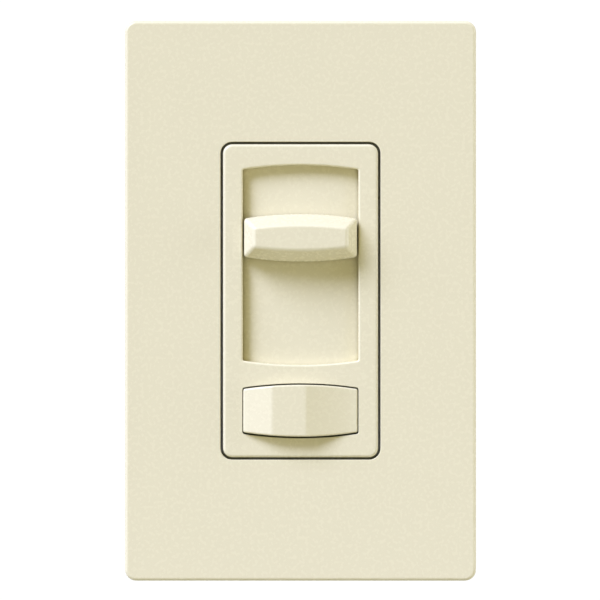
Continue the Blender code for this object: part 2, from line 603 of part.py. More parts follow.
def make_wiper():
    """A sprung strip under the lever block, with two raised fingers that touch the track."""
    flat, crest = WIPER_FRONT + WIPER_T, POT_BASE_FRONT - 0.15 * MM
    half_h, half_w, half_gap = 3.6 * MM, 2.2 * MM, 0.4 * MM
    outline = [
        (WIPER_FRONT, KNOB_Z - half_h), (WIPER_FRONT, KNOB_Z + half_h), (flat, KNOB_Z + half_h),
        (flat, KNOB_Z + half_h / 3), (crest, KNOB_Z - half_h * 0.3), (crest, KNOB_Z - half_h / 2),
        (crest - WIPER_T, KNOB_Z - half_h / 2), (crest - WIPER_T, KNOB_Z - half_h * 0.3), (flat, KNOB_Z),
        (flat, KNOB_Z - half_h),
    ]
    strip = sideways_prism("pot_wiper", outline, -half_w, half_w)
    height = (KNOB_Z - half_h - THROUGH, KNOB_Z + half_h / 4)
    gap = box("gap", -half_gap, half_gap, flat + 0.01 * MM, crest + THROUGH, *height)
    return cut(strip, gap)


# ---- button and switch ------------------------------------------------------------------------


def beyond(inner, outer, reach):
    """The point on the line from inner through outer, reach further along X."""
    share = reach / abs(outer[0] - inner[0])
    return (outer[0] + share * (outer[0] - inner[0]), outer[1] + share * (outer[1] - inner[1]))


def faceted_block(name, half_w, side, rise, inset, back):
    """The arched outline under the front facets, with its front set back by inset."""
    block = prism(name, [arched(half_w, side, rise, BUTTON_Z)], BUTTON_PEAK - THROUGH, back)
    front = [(x, y + inset) for x, y in BUTTON_FACETS]
    left = beyond(front[1], front[0], THROUGH)
    right = beyond(front[-2], front[-1], THROUGH)
    section = [(left[0], back + THROUGH), left, *front[1:-1], right, (right[0], back + THROUGH)]
    return overlap_of(block, upright_prism("facets", section, BUTTON_Z - 3 * side, BUTTON_Z + 3 * side))


def make_button():
    """The faceted cap, with a flange behind the bezel and a forked stem into the switch."""
    cap = faceted_block("button", BUTTON_HALF_W, BUTTON_SIDE, BUTTON_RISE, 0.0, BUTTON_BACK)
    flange_w, flange_side = BUTTON_HALF_W + BUTTON_FLANGE_OUT, BUTTON_SIDE + BUTTON_FLANGE_OUT
    flange = arched(flange_w, flange_side, BUTTON_RISE, BUTTON_Z)
    inner_w, inner_side = BUTTON_HALF_W - BUTTON_WALL, BUTTON_SIDE - BUTTON_WALL
    cap = joined(cap, prism("flange", [flange], BUTTON_BACK - BUTTON_FLANGE_T, BUTTON_BACK + 0.01 * MM))
    hollow = inner_w, inner_side, BUTTON_RISE, BUTTON_WALL, BUTTON_BACK + THROUGH
    cap = cut(cap, faceted_block("hollow", *hollow))
    stem = rod("stem", STEM_R, BUTTON_PEAK + BUTTON_WALL / 2, STEM_END, (0.0, 0.0, BUTTON_Z))
    across = (BUTTON_Z - STEM_R - THROUGH, BUTTON_Z + STEM_R + THROUGH)
    fork = box("fork", -FORK_HALF_W, FORK_HALF_W, FORK_Y, STEM_END + THROUGH, *across)
    return joined(cap, cut(stem, fork, kicker_axle("pin_hole", KICKER_PIN_R + 0.15 * MM, STEM_R + THROUGH)))


def kicker_axle(name, radius, half_length):
    place = (0.0, KICKER_PIVOT_Y, BUTTON_Z)
    return rod(name, radius, -half_length, half_length, place, TURNED_TO_X, 12)


def make_button_spring():
    start, end = BUTTON_PEAK + BUTTON_WALL + 1.1 * MM, COVER_FRONT - 0.4 * MM
    steps = SPRING_TURNS * SPRING_STEPS
    points = []
    for i in range(steps + 1):
        angle = 2 * math.pi * i / SPRING_STEPS
        x, z = SPRING_R * math.cos(angle), SPRING_R * math.sin(angle)
        points.append((x, start + (end - start) * i / steps, BUTTON_Z + z))
    return tube("button_spring", points, SPRING_WIRE_R, 2)


def make_kicker():
    """The finger on the stem's end that tips the rocker. It leans towards the raised pocket."""
    pocket_y = ROCKER_Y - POCKET_ARM * math.sin(ROCKER_TILT)
    tip = Vector((pocket_y - SOCKET_GAP, BUTTON_Z + POCKET_ARM * math.cos(ROCKER_TILT)))
    root = Vector((KICKER_PIVOT_Y, BUTTON_Z))
    along = (tip - root).normalized()
    across = Vector((-along.y, along.x))
    shoulder = root + along * KICKER_EYE_R
    neck = tip - along * 0.3 * MM
    outline = [
        root + across * 0.8 * MM, shoulder + across * 0.75 * MM, neck + across * 0.4 * MM, tip,
        neck - across * 0.4 * MM, shoulder - across * 0.75 * MM, root - across * 0.8 * MM,
    ]
    finger = sideways_prism("kicker", [tuple(point) for point in outline], -KICKER_HALF_W, KICKER_HALF_W)
    eye = kicker_axle("eye", KICKER_EYE_R, KICKER_HALF_W)
    return cut(joined(finger, eye), kicker_axle("hole", KICKER_PIN_R + 0.15 * MM, KICKER_HALF_W + THROUGH))


def switch_outline(inset, radius):
    return rectangle(2 * (SWITCH_HALF_W - inset), 2 * (SWITCH_HALF_H - inset), radius, 0.0, BUTTON_Z)


def rocker_axle(name, radius, half_length):
    return rod(name, radius, -half_length, half_length, (0.0, ROCKER_Y, BUTTON_Z), TURNED_TO_X, 12)


def make_switch_housing():
    """The cup around the contacts, with holes for the rocker's pin and slots for two terminals."""
    inner_back = SWITCH_BACK - SWITCH_WALL
    housing = prism("switch_housing", [switch_outline(0.0, 0.8 * MM)], SWITCH_FRONT, SWITCH_BACK)
    housing = cut(
        housing,
        prism("inside", [switch_outline(SWITCH_WALL, 0.4 * MM)], SWITCH_FRONT - THROUGH, inner_back),
        rocker_axle("axle_hole", ROCKER_PIN_R + 0.15 * MM, SWITCH_HALF_W + THROUGH),
    )
    half_w, half_h = LUG_HALF_W + SOCKET_GAP, LUG_T / 2 + SOCKET_GAP
    span = (inner_back - THROUGH, SWITCH_BACK + THROUGH, BUTTON_Z - LUG_Z - half_h, BUTTON_Z - LUG_Z + half_h)
    for x in (-CONTACT_X, CONTACT_X):
        housing = cut(housing, box("lug_slot", x - half_w, x + half_w, *span))
    return housing


def make_switch_cover():
    stem_hole = circle(STEM_R + 0.25 * MM, 0.0, BUTTON_Z)
    return prism("switch_cover", [switch_outline(0.0, 0.8 * MM), stem_hole], COVER_FRONT, COVER_BACK)


def make_rocker():
    """A see-saw with a pocket on each side of its hub, drawn level; its pivot empty tilts it."""
    y, arm = ROCKER_Y, POCKET_ARM
    half = [
        (y - 1.7 * MM, 0.0), (y - 1.4 * MM, 0.75 * MM), (y - 0.4 * MM, ROCKER_HUB_R),
        (y, arm - 0.55 * MM), (y, arm + 0.65 * MM), (y - 1.3 * MM, arm + 1.2 * MM),
        (y - 1.3 * MM, arm + 1.9 * MM), (y + ROCKER_BACK, arm + 1.9 * MM),
    ]
    upper = [(depth, BUTTON_Z + height) for depth, height in half]
    lower = [(depth, BUTTON_Z - height) for depth, height in reversed(half[1:])]
    rocker = sideways_prism("switch_rocker", upper + lower, -ROCKER_HALF_W, ROCKER_HALF_W)
    return cut(rocker, rocker_axle("hole", ROCKER_PIN_R + 0.2 * MM, ROCKER_HALF_W + THROUGH))


def make_moving_contact():
    """The bridge under the rocker's lower end, with a contact button at each end."""
    y, z = ROCKER_Y + ROCKER_BACK + REST_GAP, BUTTON_Z - 3.3 * MM
    reach = CONTACT_X + LUG_HALF_W
    bridge = box("moving_contact", -reach, reach, y, y + CONTACT_T, z - 1.5 * MM, z + 1.5 * MM)
    tips = [
        rod("tip", CONTACT_R, CONTACT_T / 2, CONTACT_T * 2.2, (x, y, z), steps=12)
        for x in (-CONTACT_X, CONTACT_X)
    ]
    return joined(bridge, *tips)


def make_fixed_contact(name, side):
    """A bent terminal: a pad at the back of the switch and a lug out through its rear wall."""
    x, back = side * CONTACT_X, SWITCH_BACK - SWITCH_WALL - REST_GAP
    across = (x - LUG_HALF_W, x + LUG_HALF_W)
    pad_front, lug_z = back - CONTACT_T, BUTTON_Z - LUG_Z
    pad = box(name, *across, pad_front, back, BUTTON_Z - 5.6 * MM, lug_z + LUG_T / 2)
    span = (pad_front + 0.1 * MM, SWITCH_BACK + LUG_PROUD, lug_z - LUG_T / 2, lug_z + LUG_T / 2)
    lug = box("lug", *across, *span)
    profile = [
        (0.0, CONTACT_T / 2), (CONTACT_R, CONTACT_T / 2), (CONTACT_R, -0.15 * MM),
        (CONTACT_R * 0.6, -0.3 * MM), (0.0, -0.35 * MM),
    ]
    return joined(pad, lug, turned("dome", profile, (x, pad_front, BUTTON_Z - 4.2 * MM), steps=12))


# ---- yoke and rear housing --------------------------------------------------------------------


def yoke_outline():
    return rounded(mirrored([
        (9.0 * MM, -YOKE_HALF_H, 1.5 * MM),
        (12.0 * MM, -YOKE_HALF_H + 3.0 * MM, 1.0 * MM),
        (18.5 * MM, -YOKE_HALF_H + 3.0 * MM, 1.5 * MM),
        (18.5 * MM, -38.5 * MM, 1.5 * MM),
        (YOKE_BODY_X, -36.0 * MM, 1.0 * MM),
        (YOKE_BODY_X, -YOKE_FIN_Z, 0.0),
        (YOKE_FIN_X, -YOKE_FIN_Z, 1.5 * MM),
        (YOKE_FIN_X, YOKE_FIN_Z, 1.5 * MM),
        (YOKE_BODY_X, YOKE_FIN_Z, 0.0),
        (YOKE_BODY_X, 36.0 * MM, 1.0 * MM),
        (18.5 * MM, 38.5 * MM, 1.5 * MM),
        (18.5 * MM, YOKE_HALF_H - 3.0 * MM, 1.5 * MM),
        (12.0 * MM, YOKE_HALF_H - 3.0 * MM, 1.0 * MM),
        (9.0 * MM, YOKE_HALF_H, 1.5 * MM),
    ]), steps=2)


def corners():
    return [(sx * RIVET_X, sz * RIVET_Z) for sx in (-1, 1) for sz in (-1, 1)]


def make_yoke():
    """The strap that carries everything, with side fins that can be snapped off along a score."""
    loops = [
        yoke_outline(),
        between(-YOKE_SLOT, YOKE_SLOT, LEVER_SLOT_BOTTOM, LEVER_SLOT_TOP),
        rectangle(BUTTON_WINDOW_W, BUTTON_WINDOW_H, 1.0 * MM, 0.0, BUTTON_Z),
    ]
    for sign in (-1, 1):
        loops.append(circle(SCREW_R + SOCKET_GAP, 0.0, sign * PLATE_SCREW_Z))
        loops.append(rectangle(BOX_SLOT_W, BOX_SLOT_H, BOX_SLOT_H * 0.48, 0.0, sign * BOX_SCREW_Z))
    loops += [circle(RIVET_R + SOCKET_GAP, x, z, SMALL_STEPS) for x, z in corners()]
    loops += [circle(PEG_HOLE_R, x, z, SMALL_STEPS) for x, z in PEGS]
    yoke = prism("yoke", loops, YOKE_FRONT, 0.0)
    bore, mouth = TRIAC_RIVET_R + SOCKET_GAP, TRIAC_SINK_R + 2 * SOCKET_GAP
    sink = [
        (0.0, THROUGH), (bore, THROUGH), (bore, YOKE_FRONT * 0.4), (mouth, YOKE_FRONT),
        (mouth, YOKE_FRONT - THROUGH), (0.0, YOKE_FRONT - THROUGH),
    ]
    yoke = cut(yoke, turned("countersink", sink, (TRIAC_X, 0.0, TRIAC_HOLE_Z), steps=SMALL_STEPS))
    along = (-YOKE_FIN_Z - THROUGH, YOKE_FIN_Z + THROUGH)
    for x in (-YOKE_BODY_X, YOKE_BODY_X):
        edges = (x - SCORE_W / 2, x + SCORE_W / 2)
        yoke = cut(yoke, box("score", *edges, YOKE_FRONT - THROUGH, YOKE_FRONT + YOKE_T / 2, *along))
    return yoke


def make_back_cover():
    """The rear housing: a deep cup with four rivet bosses and ledges behind the circuit board."""
    inner_back = COVER_D - COVER_WALL
    root = COVER_D - COVER_WALL / 2
    inner = rectangle(COVER_W - 2 * COVER_WALL, COVER_H - 2 * COVER_WALL, COVER_R - COVER_WALL)
    cover = prism("back_cover", [rectangle(COVER_W, COVER_H, COVER_R)], REST_GAP, COVER_D)
    cover = cut(cover, prism("inside", [inner], -THROUGH, inner_back))
    bosses = [rod("boss", BOSS_R, REST_GAP, root, (x, 0.0, z), steps=SMALL_STEPS) for x, z in corners()]
    ledges = []
    for side in (-1, 1):
        edges = sorted((side * (COVER_W - COVER_WALL) / 2, side * (BOARD_HALF_W - LEDGE_HOLD)))
        for z in LEDGE_ZS:
            height = (z - LEDGE_T / 2, z + LEDGE_T / 2)
            ledges.append(box("ledge", *edges, BOARD_BACK + REST_GAP, root, *height))
    cover = joined(cover, *bosses, *ledges)
    bores = [
        rod("bore", RIVET_R + SOCKET_GAP, -THROUGH, COVER_D + THROUGH, (x, 0.0, z), steps=SMALL_STEPS)
        for x, z in corners()
    ]
    exits = [
        rod("exit", LEAD_HOLE_R, inner_back - THROUGH, COVER_D + THROUGH, (x, 0.0, LEAD_Z), steps=12)
        for x in LEADS.values()
    ]
    label = rectangle(LABEL_W, LABEL_H, 1.0 * MM, 0.0, LABEL_Z)
    return cut(cover, *bores, *exits, prism("label", [label], COVER_D - LABEL_DEPTH, COVER_D + THROUGH))


def make_rivet(name, x, z):
    """A tubular rivet through the yoke and the rear housing, flared at both ends."""
    front, back = YOKE_FRONT - REST_GAP, COVER_D + REST_GAP
    profile = [
        (RIVET_HEAD_R, back + RIVET_HEAD_T), (RIVET_HEAD_R, back), (RIVET_R, back), (RIVET_R, front),
        (RIVET_HEAD_R, front), (RIVET_HEAD_R, front - RIVET_HEAD_T), (RIVET_BORE_R, front - RIVET_HEAD_T),
        (RIVET_BORE_R, back + RIVET_HEAD_T),
    ]
    return turned(name, profile, (x, 0.0, z), steps=SMALL_STEPS, closed=True)


def make_insulator():
    """The thin sheet between the yoke and the circuit, notched round the bosses."""
    half = [
        (NOTCH_X, -SHEET_HALF_H, 0.0), (NOTCH_X, -NOTCH_Z, 0.0), (SHEET_HALF_W, -NOTCH_Z, 0.0),
        (SHEET_HALF_W, NOTCH_Z, 0.0), (NOTCH_X, NOTCH_Z, 0.0), (NOTCH_X, SHEET_HALF_H, 0.0),
    ]
    slot_half_w = YOKE_SLOT + SOCKET_GAP
    loops = [
        rounded(mirrored(half)),
        between(-slot_half_w, slot_half_w, LEVER_SLOT_BOTTOM - SOCKET_GAP, LEVER_SLOT_TOP + SOCKET_GAP),
        rectangle(BUTTON_WINDOW_W, BUTTON_WINDOW_H - 1.0 * MM, 1.0 * MM, 0.0, BUTTON_Z),
        circle(TRIAC_TAB_HOLE_R, TRIAC_X, TRIAC_HOLE_Z, SMALL_STEPS),
    ]
    reach = PEG_HEAD_R + SLIDE_GAP
    windows = [box("window", x - reach, x + reach, -THROUGH, THROUGH, z - reach, z + reach) for x, z in PEGS]
    return cut(prism("insulator_sheet", loops, SHEET_FRONT, SHEET_BACK), *windows)


# ---- circuit board ----------------------------------------------------------------------------


def make_board():
    """The circuit board, notched round the upper bosses, with holes for pins and legs."""
    outline = rounded(mirrored([
        (BOARD_HALF_W, BOARD_BOTTOM, 0.0), (BOARD_HALF_W, NOTCH_Z, 0.0), (NOTCH_X, NOTCH_Z, 0.0),
        (NOTCH_X, BOARD_TOP, 0.0),
    ]))
    pin_holes = [circle(POT_PIN_R + SOCKET_GAP, x, z, 8) for x, z in POT_PINS]
    leg_holes = [circle(LEG_W / 2 + 0.25 * MM, x, TRIAC_LEG_Z, 8) for x in TRIAC_LEG_XS]
    return prism("circuit_board", [outline, *pin_holes, *leg_holes], BOARD_FRONT, BOARD_BACK)


def make_triac_body():
    """The moulded body with three bent legs that run through the circuit board."""
    edges, top = (TRIAC_X - TRIAC_HALF_W, TRIAC_X + TRIAC_HALF_W), TRIAC_BOTTOM + TRIAC_BODY_H
    body = box("triac_body", *edges, TRIAC_FRONT, TRIAC_BACK, TRIAC_BOTTOM, top)
    middle, low = (TRIAC_FRONT + TRIAC_BACK) / 2, TRIAC_LEG_Z - LEG_T / 2
    legs = []
    for x in TRIAC_LEG_XS:
        across = (x - LEG_W / 2, x + LEG_W / 2)
        down = (middle - LEG_T / 2, middle + LEG_T / 2, low, TRIAC_BOTTOM + THROUGH)
        legs.append(box("leg", *across, *down))
        legs.append(box("foot", *across, middle, BOARD_BACK + PIN_PROUD, low, low + LEG_T))
    return joined(body, *legs)


def make_triac_tab():
    """The metal tab behind the triac that carries its heat into the yoke."""
    left, right, top = TRIAC_X - TRIAC_HALF_W, TRIAC_X + TRIAC_HALF_W, TRIAC_BOTTOM + TRIAC_TAB_H
    outline = rounded([
        (left, TRIAC_BOTTOM, 0.0), (right, TRIAC_BOTTOM, 0.0), (right, top, 0.8 * MM), (left, top, 0.8 * MM),
    ], steps=2)
    hole = circle(TRIAC_TAB_HOLE_R, TRIAC_X, TRIAC_HOLE_Z)
    return prism("triac_tab", [outline, hole], SHEET_BACK + REST_GAP, TRIAC_FRONT - REST_GAP)


def make_triac_rivet():
    """A rivet that clamps the tab to the yoke, countersunk flush with the yoke's front."""
    front, shop_head = YOKE_FRONT + REST_GAP, TRIAC_FRONT
    profile = [
        (0.0, shop_head + 0.9 * MM), (1.8 * MM, shop_head + 0.7 * MM), (2.5 * MM, shop_head),
        (TRIAC_RIVET_R, shop_head), (TRIAC_RIVET_R, YOKE_FRONT * 0.4), (TRIAC_SINK_R, front), (0.0, front),
    ]
    return turned("triac_rivet", profile, (TRIAC_X, 0.0, TRIAC_HOLE_Z), steps=SMALL_STEPS)


def choke_ring(name, grow):
    """The choke core's square-edged ring, grown on every side."""
    inner, outer = CHOKE_INNER - grow, CHOKE_OUTER + grow
    front, back = CHOKE_FRONT - grow, CHOKE_FRONT + CHOKE_HEIGHT + grow
    profile = [(outer, back), (outer, front), (inner, front), (inner, back)]
    return turned(name, profile, (CHOKE_X, 0.0, CHOKE_Z), steps=24, closed=True)


def make_choke_winding():
    """The wire wound round the core, as one open ring that leaves a gap where its ends come out."""
    reach = 2 * CHOKE_OUTER
    spread = reach * math.tan(WINDING_OPEN / 2)
    wedge = [(CHOKE_X, CHOKE_Z), (CHOKE_X + reach, CHOKE_Z - spread), (CHOKE_X + reach, CHOKE_Z + spread)]
    winding = cut(choke_ring("choke_winding", WINDING_T), prism("wedge", [wedge], 0.0, COVER_D))
    return cut(winding, choke_ring("core", 0.15 * MM))


def on_board_box(name, place, size, lead_offset):
    """A boxed part that stands on the circuit board's rear face on two lead stubs."""
    (x, z), (width, height, depth) = place, size
    front = BOARD_BACK + 0.6 * MM
    body = box(name, x - width / 2, x + width / 2, front, front + depth, z - height / 2, z + height / 2)
    stubs = [
        rod("stub", WIRE_R, BOARD_BACK + REST_GAP, front + THROUGH / 2, (side, 0.0, z), steps=8)
        for side in (x - lead_offset, x + lead_offset)
    ]
    return joined(body, *stubs)


def axial_part(name, z, half_length, radius):
    """A small round part that lies along X on two bent leads."""
    x, y, waist = AXIAL_X, BOARD_BACK + radius + 0.5 * MM, radius * 0.88
    half = [
        (0.0, half_length), (radius * 0.8, half_length), (radius, half_length * 0.85),
        (waist, half_length * 0.55),
    ]
    profile = half + [(r, -height) for r, height in reversed(half)]
    body = turned(name, profile, (x, y, z), TURNED_TO_X, SMALL_STEPS)
    reach, foot = half_length + 1.6 * MM, BOARD_BACK + REST_GAP
    bends = [(x - reach, foot, z), (x - reach, y, z), (x + reach, y, z), (x + reach, foot, z)]
    return joined(body, tube("wire", bends, WIRE_R, 0))


def lead_path(x):
    """From the circuit board straight out of the rear wall, then bent down behind the housing."""
    out = COVER_D + LEAD_OUT
    path = [Vector((x, BOARD_BACK + 0.3 * MM, LEAD_Z)), Vector((x, out, LEAD_Z))]
    for i in range(1, 7):
        turn = math.radians(15.0 * i)
        path.append(Vector((x, out + LEAD_BEND * math.sin(turn), LEAD_Z - LEAD_BEND * (1 - math.cos(turn)))))
    for i in range(1, 13):
        share = i / 12
        sway = LEAD_SWAY * math.sin(math.pi / 2 * share) ** 2
        spread = 1 + 0.35 * math.sin(math.pi / 2 * share)
        path.append(Vector((x * spread, out + LEAD_BEND - sway, LEAD_Z - LEAD_BEND - LEAD_DROP * share)))
    return path


def make_lead(name, x):
    """An insulated lead, and its bare conductor from where the insulation ends."""
    path = lead_path(x)
    end, along = path[-1], (path[-1] - path[-2]).normalized()
    bare = [end + along * REST_GAP, end + along * BARE_LENGTH]
    return tube(name, path, LEAD_R), tube(name.replace("lead", "conductor"), bare, CONDUCTOR_R)


# ---- the whole object -------------------------------------------------------------------------


def make_wall_plate(ivory, steel, fibre):
    finished(make_faceplate(), ivory)
    finished(make_adapter(), ivory)
    box_seat = YOKE_FRONT - REST_GAP
    plate_seat = box_seat - ADAPTER_T - REST_GAP
    for end, sign in (("top", 1), ("bottom", -1)):
        plate_z, box_z = sign * PLATE_SCREW_Z, sign * BOX_SCREW_Z
        plate_screw = f"adapter_screw_{end}", plate_seat, PLATE_HEAD_R, PLATE_HEAD_T, PLATE_SCREW_LENGTH
        box_screw = f"mounting_screw_{end}", box_seat, BOX_HEAD_R, BOX_HEAD_T, BOX_SCREW_LENGTH
        finished(pan_screw(*plate_screw, plate_z), steel)
        finished(pan_screw(*box_screw, box_z), steel)
        finished(make_screw_retainer(f"screw_retainer_{end}", box_z), fibre)


def make_frame(ivory, black, metal, fibre):
    finished(make_bezel(), ivory)
    finished(make_track(), ivory)
    finished(make_yoke(), metal)
    finished(make_back_cover(), black)
    for (x, z), name in zip(corners(), ("lower_left", "upper_left", "lower_right", "upper_right")):
        finished(make_rivet(f"rivet_{name}", x, z), metal)
    finished(make_insulator(), fibre)


def make_circuit(black, metal, steel, copper, board, resin, yellow):
    finished(make_board(), board)
    finished(make_pot_case(), steel)
    finished(make_pot_base(), resin)
    finished(make_triac_body(), black)
    finished(make_triac_tab(), metal)
    finished(make_triac_rivet(), metal)
    finished(choke_ring("choke_core", 0.0), yellow)
    finished(make_choke_winding(), copper)
    filter_size, timing_size = (18.0 * MM, 6.5 * MM, 12.0 * MM), (10.0 * MM, 4.5 * MM, 8.0 * MM)
    finished(on_board_box("filter_capacitor", (-8.5 * MM, 15.2 * MM), filter_size, 7.5 * MM), yellow)
    finished(on_board_box("timing_capacitor", (AXIAL_X, -7.6 * MM), timing_size, 3.75 * MM), resin)
    finished(axial_part("resistor_upper", 5.0 * MM, 3.2 * MM, 1.15 * MM), resin)
    finished(axial_part("resistor_lower", 0.5 * MM, 3.2 * MM, 1.15 * MM), resin)
    finished(axial_part("diac", 9.5 * MM, 2.1 * MM, 0.95 * MM), resin)


def make_switch(black, steel, copper):
    finished(make_switch_housing(), black)
    finished(make_switch_cover(), black)
    finished(rocker_axle("rocker_pin", ROCKER_PIN_R, SWITCH_HALF_W), steel)
    finished(make_fixed_contact("line_contact", -1), copper)
    finished(make_fixed_contact("load_contact", 1), copper)
    finished(make_button_spring(), steel)


def make_leads(insulation, copper):
    for name, x in LEADS.items():
        cable, bare = make_lead(name, x)
        finished(cable, insulation[name])
        finished(bare, copper)


def make_moving_pieces(ivory, black, steel, copper):
    """Each moving body hangs from an empty on its joint's axis."""
    slider = pivot("slider_axis", (0.0, BEZEL_FRONT, KNOB_Z))
    hang(slider, [
        finished(make_knob(), ivory),
        finished(make_carriage(), ivory),
        finished(make_pot_lever(), black),
        finished(make_wiper(), copper),
    ])
    press = pivot("button_axis", (0.0, BEZEL_FRONT, BUTTON_Z))
    hang(press, [
        finished(make_button(), ivory),
        finished(make_kicker(), black),
        finished(kicker_axle("kicker_pin", KICKER_PIN_R, STEM_R), steel),
    ])
    tilt = pivot("rocker_axis", (0.0, ROCKER_Y, BUTTON_Z), ROCKER_TILT)
    hang(tilt, [finished(make_rocker(), black), finished(make_moving_contact(), copper)])


def main():
    ivory = material("ivory_plastic", (0.80, 0.74, 0.56), 0.42)
    black = material("black_thermoplastic", (0.03, 0.03, 0.03), 0.5)
    metal = material("aluminium", (0.75, 0.76, 0.78), 0.35, 1.0)
    steel = material("zinc_plated_steel", (0.62, 0.62, 0.62), 0.3, 1.0)
    copper = material("copper_alloy", (0.80, 0.45, 0.25), 0.3, 1.0)
    fibre = material("red_fibre", (0.35, 0.08, 0.05), 0.8)
    board = material("board_laminate", (0.10, 0.30, 0.14), 0.5)
    resin = material("phenolic_resin", (0.35, 0.20, 0.10), 0.5)
    yellow = material("yellow_coating", (0.80, 0.62, 0.10), 0.5)
    green = material("green_insulation", (0.03, 0.35, 0.10), 0.45)
    make_wall_plate(ivory, steel, fibre)
    make_frame(ivory, black, metal, fibre)
    make_circuit(black, metal, steel, copper, board, resin, yellow)
    make_switch(black, steel, copper)
    make_leads({"lead_line": black, "lead_load": black, "lead_ground": green}, copper)
    make_moving_pieces(ivory, black, steel, copper)


clear_scene()
PARTS = bpy.data.collections.new("dimmer_slide_switch")
bpy.context.scene.collection.children.link(PARTS)
main()
for placed in PARTS.objects:
    if placed.parent is None:
        placed.location.y += WALL_Y
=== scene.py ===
"""The looks of the dimmer slide switch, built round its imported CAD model.

Shapes are written in millimetres in the frame of the CAD model and scaled to metres when a mesh is made:
+X to the right as seen from the room, +Y into the wall, +Z up.
"""

import json
import math

import bmesh
import bpy
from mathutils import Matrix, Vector


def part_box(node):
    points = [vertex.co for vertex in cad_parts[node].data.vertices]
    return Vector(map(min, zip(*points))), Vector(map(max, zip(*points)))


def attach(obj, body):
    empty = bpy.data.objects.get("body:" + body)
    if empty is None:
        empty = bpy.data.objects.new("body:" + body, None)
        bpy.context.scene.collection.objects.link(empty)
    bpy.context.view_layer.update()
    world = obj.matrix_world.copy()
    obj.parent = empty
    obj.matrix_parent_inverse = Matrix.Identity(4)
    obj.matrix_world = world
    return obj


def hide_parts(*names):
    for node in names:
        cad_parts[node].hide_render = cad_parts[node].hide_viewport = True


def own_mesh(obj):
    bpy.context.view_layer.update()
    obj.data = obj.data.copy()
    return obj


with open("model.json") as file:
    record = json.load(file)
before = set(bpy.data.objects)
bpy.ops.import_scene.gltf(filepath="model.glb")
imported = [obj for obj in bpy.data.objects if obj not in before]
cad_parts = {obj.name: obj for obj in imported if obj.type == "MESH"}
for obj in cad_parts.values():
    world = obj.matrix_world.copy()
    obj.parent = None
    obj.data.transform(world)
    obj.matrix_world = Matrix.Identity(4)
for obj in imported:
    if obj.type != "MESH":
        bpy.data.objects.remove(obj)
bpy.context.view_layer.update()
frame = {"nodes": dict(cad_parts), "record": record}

MM = 0.001
# how far the recess floor reaches into what it joins
BURIED = 0.2
# edges that turn by more are shaded as creases
SHARP_ANGLE = math.radians(50.0)


def limits(node):
    """The lowest and the highest corner of a CAD node, in millimetres."""
    low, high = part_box(node)
    return low / MM, high / MM


# ---- sizes and places, from the frame ---------------------------------------------------------

PLATE_LOW, PLATE_HIGH = limits("faceplate")
BEZEL_LOW, BEZEL_HIGH = limits("bezel")
KNOB_LOW, KNOB_HIGH = limits("slide_knob")
BUTTON_LOW, BUTTON_HIGH = limits("button")
_, YOKE_HIGH = limits("yoke")
COVER_LOW, COVER_HIGH = limits("back_cover")

WALL_Y = PLATE_HIGH.y
PLATE_FRONT, BEZEL_FRONT = PLATE_LOW.y, BEZEL_LOW.y
PLATE_HALF_W, PLATE_HALF_H = PLATE_HIGH.x, PLATE_HIGH.z
BEZEL_HALF_W, BEZEL_HALF_H, BEZEL_BACK = 16.5, BEZEL_HIGH.z, WALL_Y - 1.6

PLATE_R, PLATE_EDGE, PLATE_WALL = 2.4, 0.75, 1.6
OPENING_HALF_W, OPENING_HALF_H, OPENING_R, OPENING_EDGE = 17.0, 33.78, 2.4, 0.18
COLLAR_WALL, COLLAR_DEPTH = 1.2, 3.0

BEZEL_R, BEZEL_EDGE, BEZEL_WALL, BEZEL_FACE = 2.0, 0.65, 1.6, 1.8
RECESS_Z, RECESS_HALF_W, RECESS_SIDE, RECESS_RISE = 7.6, 12.3, 20.3, 0.95
RECESS_DEPTH, FLOOR_T, RECESS_EDGE, RECESS_R = 2.4, 1.5, 0.45, 0.3
FLOOR_FRONT = BEZEL_FRONT + RECESS_DEPTH
FLAT_HALF_W, FLOOR_FALL, FALL_POWER = 8.2, 0.6, 2.2
GROOVE_BOTTOM = FLOOR_FRONT + 0.8
BUTTON_Z, BUTTON_RISE = (BUTTON_LOW.z + BUTTON_HIGH.z) / 2, 0.9
HOLE_HALF_W, HOLE_SIDE, HOLE_EDGE, HOLE_R = 12.33, 4.9, 0.12, 0.45
CAP_RISE, BUTTON_STROKE = 0.05, 1.8

KNOB_Z = (KNOB_LOW.z + KNOB_HIGH.z) / 2
KNOB_HALF_W, KNOB_SIDE, KNOB_RISE = 12.0, 4.1, 0.95
KNOB_FACE_HALF_W, KNOB_FACE_SIDE, KNOB_FACE_RISE = 10.0, 2.1, 0.65
KNOB_FRONT = KNOB_LOW.y
KNOB_SHOULDER, KNOB_BACK = BEZEL_FRONT - 1.2, FLOOR_FRONT - 0.3
KNOB_UP, KNOB_DOWN = 10.3, 21.9
LEG_HALF_H, LEG_T, LEG_INNER_X, LEG_OUTER_X = 2.5, 0.4, 11.6, KNOB_HIGH.x
FOOT_FRONT, FOOT_BACK = FLOOR_FRONT - 0.1, FLOOR_FRONT + 0.15

BUTTON_HALF_W, BUTTON_SIDE, BUTTON_BACK = 12.18, 4.6, BEZEL_FRONT + 5.5
FLANGE_OUT, FLANGE_T, STEM_R, FORK_HALF_W = 0.6, 0.8, 2.0, 0.95

